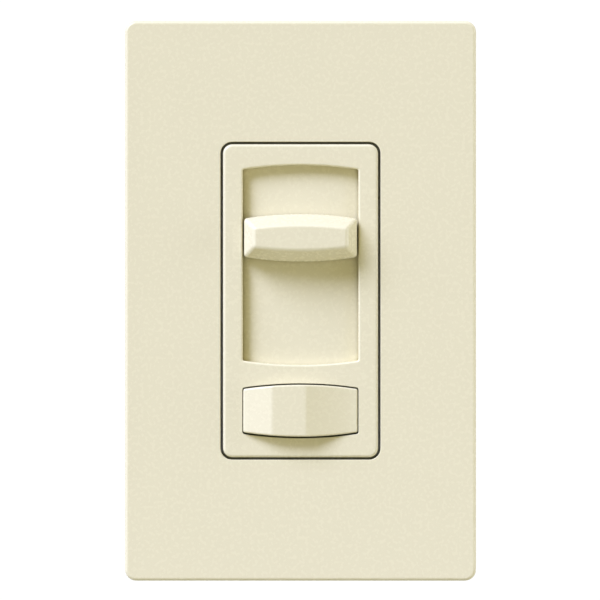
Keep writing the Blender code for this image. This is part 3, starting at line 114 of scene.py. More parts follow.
YOKE_T, YOKE_BODY_X, YOKE_FIN_X, YOKE_FIN_Z = 1.5, 22.25, 33.0, 29.0
PLATE_SCREW_Z, BOX_SCREW_Z, SCREW_R, SCREW_CORE_R, THREAD_PITCH = 48.42, 41.67, 1.75, 1.35, 0.794
RIVETS = [(sx * 19.3, sz * 28.5) for sx in (-1, 1) for sz in (-1, 1)]
RIVET_BORE_R, RIVET_HOLE_R, RIVET_POST_R = 1.15, 1.8, 2.6
PEGS = [(side * 15.4, z) for side in (-1, 1) for z in (-12.0, 22.0)]
PEG_R, PEG_HEAD_R, PEG_HOLE_R = 1.0, 1.6, 1.3
TRIAC_HOLE = (12.6, 11.2)
LEVER_SLOT = (KNOB_Z - KNOB_DOWN - 2.5, KNOB_Z + KNOB_UP + 2.5)

COVER_R, COVER_EDGE, COVER_WALL = 2.5, 1.2, 1.5
LEAD_XS = {"line": -10.5, "ground": 0.0, "load": 10.5}
LEAD_Z, LEAD_R, LEAD_HOLE_R, BORE_R, BARE_LENGTH = 25.0, 1.5, 1.8, 0.9, 11.0
STRAND_R, STRAND_OFFSET, STRAND_TURNS, STRAND_HIDDEN = 0.27, 0.53, 1.4, 2.5

# ---- outlines, as lists of (x, z) -------------------------------------------------------------


def rounded(half_w, half_h, radius, x=0.0, z=0.0, steps=8):
    """A rectangle with round corners, anticlockwise from the right side."""
    radius = max(radius, 0.02)
    points = []
    for quarter, (sx, sz) in enumerate(((1, 1), (-1, 1), (-1, -1), (1, -1))):
        cx, cz = x + sx * (half_w - radius), z + sz * (half_h - radius)
        for i in range(steps + 1):
            angle = math.radians(90.0 * (quarter + i / steps))
            points.append((cx + radius * math.cos(angle), cz + radius * math.sin(angle)))
    return points


def arched(half_w, side, rise, radius, z=0.0, steps=28, corner_steps=5):
    """A band whose upper and lower edges bulge by rise in the middle, with round corners."""
    radius = max(radius, 0.02)
    inner = half_w - radius
    shares = [(inner + radius * math.sin(math.radians(90.0 * i / corner_steps)),
               radius * (1 - math.cos(math.radians(90.0 * i / corner_steps))))
              for i in range(corner_steps, 0, -1)]
    shares += [(inner * (1 - 2 * i / steps), 0.0) for i in range(steps + 1)]
    shares += [(-x, drop) for x, drop in reversed(shares[:corner_steps])]
    top = [(x, side + rise * (1 - (x / half_w) ** 2) - drop) for x, drop in shares]
    return [(x, z + up) for x, up in top] + [(-x, z - up) for x, up in top]


# each of these grows outwards by grow, corners included


def plate_outline(grow=0.0):
    return rounded(PLATE_HALF_W + grow, PLATE_HALF_H + grow, PLATE_R + grow)


def opening_outline(grow=0.0):
    return rounded(OPENING_HALF_W + grow, OPENING_HALF_H + grow, OPENING_R + grow)


def bezel_outline(grow=0.0):
    return rounded(BEZEL_HALF_W + grow, BEZEL_HALF_H + grow, BEZEL_R + grow)


def recess_outline(grow=0.0):
    return arched(RECESS_HALF_W + grow, RECESS_SIDE + grow, RECESS_RISE, RECESS_R + grow, RECESS_Z)


def hole_outline(grow=0.0):
    return arched(HOLE_HALF_W + grow, HOLE_SIDE + grow, BUTTON_RISE, HOLE_R + grow, BUTTON_Z)


def circle(radius, x=0.0, z=0.0, steps=24):
    turns = [2 * math.pi * i / steps for i in range(steps)]
    return [(x + radius * math.cos(turn), z + radius * math.sin(turn)) for turn in turns]


def mirrored(half):
    """The whole of a symmetric outline from its right half, from bottom to top."""
    return half + [(-x, z, radius) for x, z, radius in reversed(half)]


def filleted(corners, steps=6):
    """A closed outline through (x, z, radius) corners, each of them rounded."""
    points = []
    for i, (x, z, radius) in enumerate(corners):
        here = Vector((x, z))
        before = (Vector(corners[i - 1][:2]) - here).normalized()
        after = (Vector(corners[(i + 1) % len(corners)][:2]) - here).normalized()
        if radius <= 0:
            points.append((x, z))
            continue
        half = before.angle(after) / 2
        middle = here + (before + after).normalized() * radius / math.sin(half)
        start = here + before * radius / math.tan(half) - middle
        end = here + after * radius / math.tan(half) - middle
        points += [tuple(middle + start.slerp(end, step / steps)) for step in range(steps + 1)]
    return points


# ---- meshes -----------------------------------------------------------------------------------


def at_depth(outline, y):
    return [(x, y, z) for x, z in outline]


def rolled_edge(outline, front, radius, sign, steps=5):
    """Rings that roll from the wall of an outline round to its face at depth front."""
    rings = []
    for i in range(steps + 1):
        angle = math.radians(90.0 * i / steps)
        grow, back = sign * radius * (1 - math.cos(angle)), radius * (1 - math.sin(angle))
        rings.append(at_depth(outline(grow), front + back))
    return rings


def skin(shape, rings, cyclic=False):
    """Joins rings of equally many points by quads, and gives the rings of vertices."""
    made = [[shape.verts.new(point) for point in ring] for ring in rings]
    pairs = list(zip(made, made[1:]))
    if cyclic:
        pairs.append((made[-1], made[0]))
    for one, other in pairs:
        for i in range(len(one)):
            j = (i + 1) % len(one)
            shape.faces.new((one[i], one[j], other[j], other[i]))
    return made


def loft(shape, rings):
    """A closed solid through rings, capped at both ends."""
    made = skin(shape, rings)
    shape.faces.new(made[0])
    shape.faces.new(made[-1])
    return made


def fill_between(shape, *loops):
    """A flat face between an outer loop of vertices and the loops of its holes."""
    edges = [shape.edges.get((loop[i - 1], loop[i])) or shape.edges.new((loop[i - 1], loop[i]))
             for loop in loops for i in range(len(loop))]
    bmesh.ops.triangle_fill(shape, use_beauty=True, use_dissolve=False, edges=edges)


def round_edges(shape, width, over=30.0, segments=3, verts=None):
    """Rounds the edges that turn by more than an angle."""
    bmesh.ops.remove_doubles(shape, verts=verts or shape.verts, dist=0.002)
    verts = [vert for vert in verts if vert.is_valid] if verts else None
    bmesh.ops.recalc_face_normals(shape, faces=shape.faces)
    edges = {edge for vert in verts for edge in vert.link_edges} if verts else shape.edges
    limit = math.radians(over)
    sharp = [edge for edge in edges if len(edge.link_faces) == 2 and edge.calc_face_angle(0.0) > limit]
    bmesh.ops.bevel(shape, geom=sharp, offset=width, segments=segments, profile=0.5, affect="EDGES",
                    clamp_overlap=True)


def block(shape, x, y, z, rounding=0.08):
    """A box between two limits on each axis, with rounded edges."""
    corners = [(x[0], z[0]), (x[1], z[0]), (x[1], z[1]), (x[0], z[1])]
    made = loft(shape, [at_depth(corners, depth) for depth in y])
    round_edges(shape, rounding, 30.0, 2, [vert for ring in made for vert in ring])


def turned(shape, profile, x=0.0, z=0.0, steps=32, gap_shade_share=False):
    """A solid of revolution about an axis along Y, from (radius, depth) pairs."""
    rings = [at_depth(circle(max(radius, 0.0), x, z, steps), y) for radius, y in profile]
    skin(shape, rings, cyclic=gap_shade_share)


def tube_rings(path, radii, sides=16):
    """Rings round each point of a path, turned as little as possible on the way."""
    last = len(path) - 1
    across, rings = None, []
    for i, (point, radius) in enumerate(zip(path, radii)):
        along = (path[min(i + 1, last)] - path[max(i - 1, 0)]).normalized()
        across = along.orthogonal() if across is None else across - along * across.dot(along)
        across.normalize()
        other = along.cross(across)
        offsets = [radius * x * across + radius * z * other for x, z in circle(1.0, steps=sides)]
        rings.append([tuple(point + offset) for offset in offsets])
    return rings


def carved(shape, *tools):
    """The shape with the tools cut away. All of them are used up."""
    for tool in tools:
        objects = []
        for source in (shape, tool):
            bmesh.ops.recalc_face_normals(source, faces=source.faces)
            mesh = bpy.data.meshes.new("carving")
            source.to_mesh(mesh)
            source.free()
            objects.append(bpy.data.objects.new("carving", mesh))
            bpy.context.scene.collection.objects.link(objects[-1])
        cutting = objects[0].modifiers.new("cut", "BOOLEAN")
        cutting.operation = "DIFFERENCE"
        cutting.object = objects[1]
        evaluated = objects[0].evaluated_get(bpy.context.evaluated_depsgraph_get())
        shape = bmesh.new()
        shape.from_mesh(evaluated.to_mesh())
        for obj in objects:
            mesh = obj.data
            bpy.data.objects.remove(obj)
            bpy.data.meshes.remove(mesh)
    return shape


def sheet(shape, outline, holes, front, back):
    """A flat plate with holes."""
    loops = [skin(shape, [at_depth(ring, front), at_depth(ring, back)]) for ring in (outline, *holes)]
    fill_between(shape, *[loop[0] for loop in loops])
    fill_between(shape, *[loop[-1] for loop in loops])


def piece(name, shape, body, finish, stands_for=(), bevel=0.0, bevel_over=30.0, segments=2):
    """Makes an object from a bmesh in millimetres, and lets it ride on a body."""
    bmesh.ops.scale(shape, vec=(MM, MM, MM), verts=shape.verts)
    bmesh.ops.remove_doubles(shape, verts=shape.verts, dist=1e-7)
    bmesh.ops.recalc_face_normals(shape, faces=shape.faces)
    if not bevel:
        for edge in shape.edges:
            edge.smooth = edge.calc_face_angle(0.0) < SHARP_ANGLE
    mesh = bpy.data.meshes.new(name)
    shape.to_mesh(mesh)
    shape.free()
    obj = bpy.data.objects.new(name, mesh)
    bpy.context.scene.collection.objects.link(obj)
    mesh.materials.append(bpy.data.materials[finish])
    soften(obj, bevel, bevel_over, segments)
    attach(obj, body)
    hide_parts(*stands_for)
    return obj


def soften(obj, bevel, bevel_over=30.0, segments=2):
    """Rounds the sharp edges and shades the rest smoothly."""
    for polygon in obj.data.polygons:
        polygon.use_smooth = True
    if bevel:
        rounding = obj.modifiers.new("rounded_edges", "BEVEL")
        rounding.width = bevel * MM
        rounding.segments = segments
        rounding.limit_method = "ANGLE"
        rounding.angle_limit = math.radians(bevel_over)
        rounding.use_clamp_overlap = True
        rounding.miter_outer = "MITER_ARC"
    normals = obj.modifiers.new("flat_faces", "WEIGHTED_NORMAL")
    normals.weight = 75
    normals.keep_sharp = not bevel


# ---- materials --------------------------------------------------------------------------------


def linear(colour):
    """A colour given as three values from 0 to 255 on a screen, in linear light."""
    return tuple(((c / 255 + 0.055) / 1.055) ** 2.4 for c in colour) + (1.0,)


def link(tree, source, target, output, socket):
    tree.links.new(source.outputs[output], target.inputs[socket])


def noise(tree, coordinates, scale, detail=2.0, rough=0.5):
    node = tree.nodes.new("ShaderNodeTexNoise")
    node.inputs["Scale"].default_value = scale
    node.inputs["Detail"].default_value = detail
    node.inputs["Roughness"].default_value = rough
    tree.links.new(coordinates, node.inputs["Vector"])
    return node.outputs["Fac"]


def spread(tree, value, low, high, start=0.3, end=0.7):
    """Maps a noise value between start and end onto low to high."""
    node = tree.nodes.new("ShaderNodeMapRange")
    node.inputs["From Min"].default_value = start
    node.inputs["From Max"].default_value = end
    node.inputs["To Min"].default_value = low
    node.inputs["To Max"].default_value = high
    tree.links.new(value, node.inputs["Value"])
    return node.outputs["Result"]


def blend_colours(tree, share, one, other):
    """Mixes two colours, given as values or as sockets, by sockets 6 and 7 of a mix node."""
    node = tree.nodes.new("ShaderNodeMix")
    node.data_type = "RGBA"
    for value, socket in ((one, node.inputs[6]), (other, node.inputs[7])):
        if isinstance(value, tuple):
            socket.default_value = value
        else:
            tree.links.new(value, socket)
    tree.links.new(share, node.inputs[0])
    return node.outputs[2]


def edge_mask(tree, radius):
    """1 along the edges that hands and tools rub, 0 elsewhere."""
    bevel = tree.nodes.new("ShaderNodeBevel")
    bevel.samples = 4
    bevel.inputs["Radius"].default_value = radius * MM
    geometry = tree.nodes.new("ShaderNodeNewGeometry")
    dot = tree.nodes.new("ShaderNodeVectorMath")
    dot.operation = "DOT_PRODUCT"
    tree.links.new(bevel.outputs["Normal"], dot.inputs[0])
    tree.links.new(geometry.outputs["Normal"], dot.inputs[1])
    return spread(tree, dot.outputs["Value"], 1.0, 0.0, 0.86, 0.98)


def finish(name, slot, colour, roughness, metallic=0.0, mottle=0.03, mottle_scale=60.0, grain=0.02,
           grain_scale=2500.0, stretch=(1.0, 1.0, 1.0), rough_spread=0.06, wear=None, wear_radius=0.35,
           specular=0.5, coat=0.0, gap_shade=None, gap_shade_reach=1.0):
    """A material with mottled colour, uneven roughness, a grained surface and, if asked, rubbed edges
    and painted shade in narrow gaps: a darker colour and weaker reflections where ambient occlusion finds the
    surface closed in."""
    made = bpy.data.materials.new(name)
    made.use_nodes = True
    tree = made.node_tree
    shader = tree.nodes["Principled BSDF"]
    coordinates = tree.nodes.new("ShaderNodeTexCoord")
    mapping = tree.nodes.new("ShaderNodeMapping")
    mapping.inputs["Scale"].default_value = stretch
    link(tree, coordinates, mapping, "Object", "Vector")
    place = mapping.outputs["Vector"]
    base = linear(colour)
    dark = tuple(c * (1 - mottle) for c in base[:3]) + (1.0,)
    light = tuple(min(1.0, c * (1 + mottle)) for c in base[:3]) + (1.0,)
    tone = blend_colours(tree, spread(tree, noise(tree, place, mottle_scale, 3.0), 0.0, 1.0), dark, light)
    uneven = noise(tree, place, mottle_scale * 4, 3.0)
    rough = spread(tree, uneven, roughness - rough_spread, roughness + rough_spread)
    if wear:
        mask = edge_mask(tree, wear_radius)
        patchy = tree.nodes.new("ShaderNodeMath")
        patchy.operation = "MULTIPLY"
        tree.links.new(mask, patchy.inputs[0])
        tree.links.new(spread(tree, noise(tree, place, mottle_scale * 8, 4.0), 0.0, 1.0), patchy.inputs[1])
        tone = blend_colours(tree, patchy.outputs["Value"], tone, linear(wear))
    # painted shade: narrow gaps and corners take a dark colour and lose their reflections, by how closed in
    # they are
    if gap_shade:
        shade = tree.nodes.new("ShaderNodeAmbientOcclusion")
        shade.samples = 8
        shade.inputs["Distance"].default_value = gap_shade_reach * MM
        gap_shade_share = tree.nodes.new("ShaderNodeMath")
        gap_shade_share.operation = "POWER"
        tree.links.new(spread(tree, shade.outputs["AO"], 1.0, 0.0, 0.0, 1.0), gap_shade_share.inputs[0])
        gap_shade_share.inputs[1].default_value = 2.2
        tone = blend_colours(tree, gap_shade_share.outputs["Value"], tone, linear(gap_shade))
        shaded_specular = spread(tree, gap_shade_share.outputs["Value"], specular, 0.0, 0.0, 0.6)
        tree.links.new(shaded_specular, shader.inputs["Specular IOR Level"])
    tree.links.new(tone, shader.inputs["Base Color"])
    tree.links.new(rough, shader.inputs["Roughness"])
    bump = tree.nodes.new("ShaderNodeBump")
    bump.inputs["Strength"].default_value = 1.0
    bump.inputs["Distance"].default_value = grain * MM
    tree.links.new(noise(tree, place, grain_scale, 3.0, 0.6), bump.inputs["Height"])
    link(tree, bump, shader, "Normal", "Normal")
    shader.inputs["Metallic"].default_value = metallic
    shader.inputs["Specular IOR Level"].default_value = specular
    shader.inputs["Coat Weight"].default_value = coat
    shader.inputs["Coat Roughness"].default_value = 0.2
    return made


def make_finishes():
    """The finishes by name. The ivory and the aluminium get painted shade in their narrow gaps; the recess
    and the knob have a copy of the ivory whose painted shade is paler.
    """
    # each ivory copy paints shade into its narrow gaps with its own colour
    for name, gap_shade in (("satin_ivory", (24, 21, 8)), ("satin_ivory_paler_gap_shade", (150, 138, 88))):
        finish(name, "ivory_plastic", (239, 233, 205), 0.27, mottle=0.004, mottle_scale=300.0, grain=0.0006,
               grain_scale=3500.0, rough_spread=0.015, specular=0.55, gap_shade=gap_shade)
    finish("black_moulding", "black_thermoplastic", (34, 34, 35), 0.48, mottle=0.15, grain=0.02,
           grain_scale=2200.0, wear=(70, 70, 72))
    # the aluminium paints near-black shade into its narrow gaps
    finish("brushed_aluminium", "aluminium", (196, 198, 202), 0.34, 1.0, mottle=0.08, mottle_scale=300.0,
           grain=0.006, grain_scale=900.0, stretch=(14.0, 1.0, 0.6), wear=(236, 236, 238),
           gap_shade=(16, 15, 12))
    finish("zinc_plating", "zinc_plated_steel", (190, 190, 184), 0.28, 1.0, mottle=0.1, mottle_scale=400.0,
           grain=0.004, wear=(225, 225, 225))
    finish("bright_copper", "copper_alloy", (222, 150, 104), 0.3, 1.0, mottle=0.12, mottle_scale=300.0,
           grain=0.004, stretch=(1.0, 1.0, 0.2))
    finish("red_fibre", "red_fibre", (122, 44, 34), 0.8, mottle=0.2, mottle_scale=500.0, grain=0.03,
           grain_scale=1500.0, stretch=(0.3, 1.0, 1.0), specular=0.2)
    finish("green_laminate", "board_laminate", (34, 98, 52), 0.35, mottle=0.1, mottle_scale=350.0,
           grain=0.006, coat=0.4)
    finish("brown_resin", "phenolic_resin", (118, 72, 40), 0.45, mottle=0.12, mottle_scale=500.0, coat=0.2)
    finish("yellow_coating", "yellow_coating", (222, 190, 72), 0.5, mottle=0.06, grain=0.02)
    finish("green_jacket", "green_insulation", (30, 118, 58), 0.38, mottle=0.06, grain=0.006,
           grain_scale=1500.0, stretch=(1.0, 1.0, 0.2))
    finish("black_jacket", "black_thermoplastic", (26, 26, 27), 0.36, mottle=0.15, grain=0.006,
           grain_scale=1500.0, stretch=(1.0, 1.0, 0.2))


# ---- front pieces -----------------------------------------------------------------------------


def make_faceplate():
    """A shell with rolled edges and a collar behind its opening."""
    shape = bmesh.new()
    inner_front = PLATE_FRONT + PLATE_WALL
    collar_back = inner_front + COLLAR_DEPTH
    rings = [at_depth(plate_outline(-0.2), WALL_Y), at_depth(plate_outline(), WALL_Y - 0.2)]
    rings += rolled_edge(plate_outline, PLATE_FRONT, PLATE_EDGE, -1)
    rings += reversed(rolled_edge(opening_outline, PLATE_FRONT, OPENING_EDGE, 1))
    rings += [at_depth(opening_outline(), collar_back), at_depth(opening_outline(COLLAR_WALL), collar_back)]
    rings += [at_depth(opening_outline(COLLAR_WALL), inner_front)]
    rings += [at_depth(plate_outline(-PLATE_WALL), depth) for depth in (inner_front, WALL_Y)]
    skin(shape, rings, cyclic=True)
    return piece("faceplate_shell", shape, "frame", "satin_ivory", ["faceplate"])


def make_bezel():
    """A frame with the arched recess and the button's hole, slots for the knob's legs, and its pegs."""
    shape = bmesh.new()
    back, cavity_front = BEZEL_BACK, BEZEL_FRONT + BEZEL_FACE
    floor_back = FLOOR_FRONT + FLOOR_T
    wall = BEZEL_WALL
    outer = [at_depth(bezel_outline(-wall), cavity_front), at_depth(bezel_outline(-wall), back - 0.15)]
    outer += [at_depth(bezel_outline(-wall + 0.15), back), at_depth(bezel_outline(-0.15), back)]
    outer += [at_depth(bezel_outline(), back - 0.15)]
    outer += rolled_edge(bezel_outline, BEZEL_FRONT, BEZEL_EDGE, -1)
    recess = list(reversed(rolled_edge(recess_outline, BEZEL_FRONT, RECESS_EDGE, 1)))
    recess += [at_depth(recess_outline(), GROOVE_BOTTOM)]
    tub = [at_depth(recess_outline(wall), cavity_front), at_depth(recess_outline(wall), floor_back)]
    guide_back = BUTTON_BACK - FLANGE_T - 0.1
    hole = list(reversed(rolled_edge(hole_outline, BEZEL_FRONT, HOLE_EDGE, 1)))
    hole += [at_depth(hole_outline(), guide_back), at_depth(hole_outline(1.0), guide_back)]
    hole += [at_depth(hole_outline(1.0), cavity_front)]
    outer, recess, tub, hole = [skin(shape, rings) for rings in (outer, recess, tub, hole)]
    fill_between(shape, outer[-1], recess[0], hole[0])
    fill_between(shape, outer[0], tub[0], hole[-1])
    fill_between(shape, recess[-1])
    fill_between(shape, tub[-1])
    slots = []
    for side in (-1, 1):
        slot = bmesh.new()
        x = sorted((side * (RECESS_HALF_W - 0.3), side * (RECESS_HALF_W + wall + 0.3)))
        z = (KNOB_Z - KNOB_DOWN - LEG_HALF_H - 0.3, KNOB_Z + KNOB_UP + LEG_HALF_H + 0.3)
        block(slot, x, (FOOT_FRONT - 0.1, FOOT_BACK + 0.1), z)
        slots.append(slot)
    shape = carved(shape, *slots)
    loft(shape, [at_depth(floor_outline(RECESS_HALF_W + BURIED), floor_back - BURIED)] + floor_rings())
    head, tip = WALL_Y + 0.1, WALL_Y + 1.0
    peg = [(0.0, back - 0.2), (PEG_R, back - 0.2), (PEG_R, WALL_Y - YOKE_T), (PEG_R, head)]
    peg += [(PEG_HEAD_R, head), (PEG_HEAD_R - 0.1, WALL_Y + 0.6), (PEG_R - 0.1, tip), (0.0, tip)]
    for x, z in PEGS:
        turned(shape, peg, x, z, 20)
    bezel = piece("bezel_moulding", shape, "frame", "satin_ivory", ["bezel"])
    # the faces inside the recess take the ivory whose painted shade in gaps is paler
    bezel.data.materials.append(bpy.data.materials["satin_ivory_paler_gap_shade"])
    half_w, half_h = RECESS_HALF_W + RECESS_EDGE, RECESS_SIDE + RECESS_RISE + RECESS_EDGE
    for face in bezel.data.polygons:
        x, y, z = face.center / MM
        sunk = BEZEL_FRONT + 0.02 < y < GROOVE_BOTTOM
        if sunk and abs(x) < half_w and abs(z - RECESS_Z) < half_h:
            face.material_index = 1
    return bezel


def floor_outline(half_w):
    """The recess floor out to half_w, whose upper and lower ends run on into the walls."""
    steps, reach = 24, 0.8
    places = [half_w * (1 - 2 * i / steps) for i in range(steps + 1)]
    rises = [RECESS_SIDE + reach + RECESS_RISE * (1 - (x / RECESS_HALF_W) ** 2) for x in places]
    upper = [(x, RECESS_Z + rise) for x, rise in zip(places, rises)]
    return upper + [(-x, RECESS_Z - rise) for x, rise in zip(places, rises)]


def floor_rings(steps=16):
    """The recess floor from inside its side walls to the middle, where it is flat."""
    rings = []
    for i in range(steps + 1):
        x = FLAT_HALF_W + (RECESS_HALF_W + BURIED - FLAT_HALF_W) * (1 - i / steps)
        share = (x - FLAT_HALF_W) / (RECESS_HALF_W - FLAT_HALF_W)
        rings.append(at_depth(floor_outline(x), FLOOR_FRONT + FLOOR_FALL * share ** FALL_POWER))
    return rings


def make_knob():
    """A bar with four bevels, whose legs turn out through the recess walls and back to the carriage."""
    shape = bmesh.new()
    steps = 24
    places = {KNOB_FACE_HALF_W * (2 * i / steps - 1) for i in range(steps + 1)} | {-KNOB_HALF_W, KNOB_HALF_W}
    sections = []
    for x in sorted(places):
        share = min(1.0, (KNOB_HALF_W - abs(x)) / (KNOB_HALF_W - KNOB_FACE_HALF_W))
        share = max(share, 1e-4)
        front = KNOB_SHOULDER + share * (KNOB_FRONT - KNOB_SHOULDER)
        side = KNOB_SIDE + KNOB_RISE * (1 - (x / KNOB_HALF_W) ** 2)
        face = KNOB_FACE_SIDE + KNOB_FACE_RISE * (1 - min(1.0, abs(x) / KNOB_FACE_HALF_W) ** 2)
        top = side + share * (face - side)
        half = [(KNOB_BACK, side), (KNOB_SHOULDER, side), (front, top)]
        outline = half + [(y, -z) for y, z in reversed(half)]
        sections.append([(x, y, KNOB_Z + z) for y, z in outline])
    loft(shape, sections)
    round_edges(shape, 0.65, 14.0, 6)
    for side in (-1, 1):
        height = (KNOB_Z - LEG_HALF_H, KNOB_Z + LEG_HALF_H)
        inner = sorted((side * LEG_INNER_X, side * (LEG_INNER_X + LEG_T)))
        outer = sorted((side * (LEG_OUTER_X - LEG_T), side * LEG_OUTER_X))
        block(shape, inner, (KNOB_BACK - 0.5, FOOT_BACK), height)
        block(shape, sorted((side * LEG_INNER_X, side * LEG_OUTER_X)), (FOOT_FRONT, FOOT_BACK), height)
        block(shape, outer, (FOOT_FRONT, KNOB_HIGH.y), height)
    # the knob takes the ivory whose painted shade in gaps is paler
    return piece("knob_grip", shape, "slider", "satin_ivory_paler_gap_shade", ["slide_knob"])


def make_button():
    """A cap with three facets, the last of them slightly hollow, on a flange and a forked stem."""
    shape = bmesh.new()
    half_w, peak, back = BUTTON_HALF_W, BUTTON_LOW.y, BUTTON_BACK
    creases = [(-half_w, BEZEL_FRONT - 0.8), (-5.95, peak), (1.1, peak), (half_w, BEZEL_FRONT)]
    hollows = [1.0, 1.0, 1.4]
    middle, sections = BUTTON_Z + CAP_RISE, []
    for (x0, y0), (x1, y1), hollow in zip(creases, creases[1:], hollows):
        steps = math.ceil((x1 - x0) / 0.9)
        for i in range(0 if x0 == -half_w else 1, steps + 1):
            share = i / steps
            x, front = x0 + (x1 - x0) * share, y1 + (y0 - y1) * (1 - share) ** hollow
            side = BUTTON_SIDE + BUTTON_RISE * (1 - (x / half_w) ** 2)
            sections.append([(x, back, middle + side), (x, front, middle + side),
                             (x, front, middle - side), (x, back, middle - side)])
    loft(shape, sections)
    round_edges(shape, 0.4, 10.0, 5)

    def flange(grow=0.0):
        return arched(half_w + FLANGE_OUT + grow, BUTTON_SIDE + FLANGE_OUT + grow, BUTTON_RISE, 0.5, BUTTON_Z)

    loft(shape, [at_depth(flange(-0.15), back), at_depth(flange(), back - 0.15),
                 at_depth(flange(), back - FLANGE_T + 0.15), at_depth(flange(-0.15), back - FLANGE_T)])
    stem_end = BUTTON_HIGH.y
    stem, fork = bmesh.new(), bmesh.new()
    turned(stem, [(0.0, back - 1.0), (STEM_R, back - 1.0), (STEM_R, stem_end - 0.3), (STEM_R - 0.3, stem_end),
                  (0.0, stem_end)], 0.0, BUTTON_Z)
    reach = (BUTTON_Z - STEM_R - 1.0, BUTTON_Z + STEM_R + 1.0)
    block(fork, (-FORK_HALF_W, FORK_HALF_W), (WALL_Y + 2.0, stem_end + 1.0), reach)
    stem = carved(stem, fork)
    mesh = bpy.data.meshes.new("stem")
    stem.to_mesh(mesh)
    stem.free()
    shape.from_mesh(mesh)
    bpy.data.meshes.remove(mesh)
    return piece("button_cap", shape, "button", "satin_ivory", ["button"])


# ---- pieces behind the wall plate -------------------------------------------------------------


def make_yoke():
    """The stepped strap with its holes and fins, scored where the fins break off."""
    shape = bmesh.new()
    top, step = YOKE_HIGH.z, YOKE_HIGH.z - 3.0
    outline = filleted(mirrored([
        (9.0, -top, 1.5), (12.0, -step, 1.0), (18.5, -step, 1.5), (18.5, -38.5, 1.5),
        (YOKE_BODY_X, -36.0, 1.0), (YOKE_BODY_X, -YOKE_FIN_Z, 0.0), (YOKE_FIN_X, -YOKE_FIN_Z, 1.5),
        (YOKE_FIN_X, YOKE_FIN_Z, 1.5), (YOKE_BODY_X, YOKE_FIN_Z, 0.0), (YOKE_BODY_X, 36.0, 1.0),
        (18.5, 38.5, 1.5), (18.5, step, 1.5), (12.0, step, 1.0), (9.0, top, 1.5),
    ]))
    middle, half_h = sum(LEVER_SLOT) / 2, (LEVER_SLOT[1] - LEVER_SLOT[0]) / 2
    holes = [rounded(2.2, half_h, 0.8, 0.0, middle), rounded(14.0, 6.9, 1.0, 0.0, BUTTON_Z)]
    holes += [circle(1.6, *TRIAC_HOLE)]
    holes += [circle(SCREW_R + 0.2, 0.0, sign * PLATE_SCREW_Z) for sign in (-1, 1)]
    holes += [rounded(4.5, 2.2, 2.1, 0.0, sign * BOX_SCREW_Z) for sign in (-1, 1)]
    holes += [circle(RIVET_HOLE_R, x, z) for x, z in RIVETS] + [circle(PEG_HOLE_R, x, z) for x, z in PEGS]
    sheet(shape, outline, holes, WALL_Y - YOKE_T, WALL_Y)
    scores = []
    for x in (-YOKE_BODY_X, YOKE_BODY_X):
        score = bmesh.new()
        front = WALL_Y - YOKE_T
        section = [(x - 0.45, front - 0.15), (x + 0.45, front - 0.15)]
        section += [(x + 0.05, front + 0.7), (x - 0.05, front + 0.7)]
        loft(score, [[(across, y, z) for across, y in section] for z in (-YOKE_FIN_Z - 1, YOKE_FIN_Z + 1)])
        scores.append(score)
    shape = carved(shape, *scores)
    return piece("yoke_strap", shape, "frame", "brushed_aluminium", ["yoke"], bevel=0.15, bevel_over=40.0)


def cover_outline(grow=0.0):
    return rounded(COVER_HIGH.x + grow, COVER_HIGH.z + grow, COVER_R + grow)


def round_hole(radius, x, z):
    return lambda grow=0.0: circle(radius + grow, x, z)


def label_outline(grow=0.0):
    return rounded(13.0 + grow, 11.0 + grow, 1.0 + grow, 0.0, -4.0)


def from_behind(rings, back):
    """Rings drawn for a front face at depth 0, turned round for a rear face."""
    return [[(x, back - y, z) for x, y, z in ring] for ring in rings]


def make_housing():
    """A box open to the front, with lead holes, rivet posts, board ribs and a sunk blank label field."""
    shape = bmesh.new()
    front, back, inner_back = COVER_LOW.y, COVER_HIGH.y, COVER_HIGH.y - COVER_WALL
    outer = [at_depth(cover_outline(-COVER_WALL), depth) for depth in (inner_back, front + 0.2)]
    outer += [at_depth(cover_outline(-COVER_WALL + 0.2), front), at_depth(cover_outline(-0.2), front)]
    outer += [at_depth(cover_outline(), front + 0.2)]
    outer += from_behind(rolled_edge(cover_outline, 0.0, COVER_EDGE, -1), back)
    outer = skin(shape, outer)
    near, far = [], []
    holes = [(LEAD_HOLE_R, x, LEAD_Z) for x in LEAD_XS.values()]
    holes += [(RIVET_HOLE_R, x, z) for x, z in RIVETS]
    for radius, x, z in holes:
        rings = from_behind(reversed(rolled_edge(round_hole(radius, x, z), 0.0, 0.25, 1, 3)), back)
        made = skin(shape, rings + [at_depth(circle(radius, x, z), inner_back)])
        near.append(made[0])
        far.append(made[-1])
    label = from_behind(reversed(rolled_edge(label_outline, 0.0, 0.15, 1, 3)), back)
    label = skin(shape, label + [at_depth(label_outline(), back - 0.4)])
    fill_between(shape, outer[-1], *near, label[0])
    fill_between(shape, outer[0], *far)
    fill_between(shape, label[-1])
    post = [(radius, front) for radius in (RIVET_HOLE_R, RIVET_POST_R)]
    post += [(radius, inner_back + 0.5) for radius in (RIVET_POST_R, RIVET_HOLE_R)]
    for x, z in RIVETS:
        turned(shape, post, x, z, gap_shade_share=True)
    for side in (-1, 1):
        for z in (-10.0, 16.0):
            edges = sorted((side * (COVER_HIGH.x - 0.75), side * 18.2))
            block(shape, edges, (WALL_Y + 8.7, back - 0.75), (z - 1.0, z + 1.0), 0.15)
    return piece("rear_housing", shape, "frame", "black_moulding", ["back_cover"])


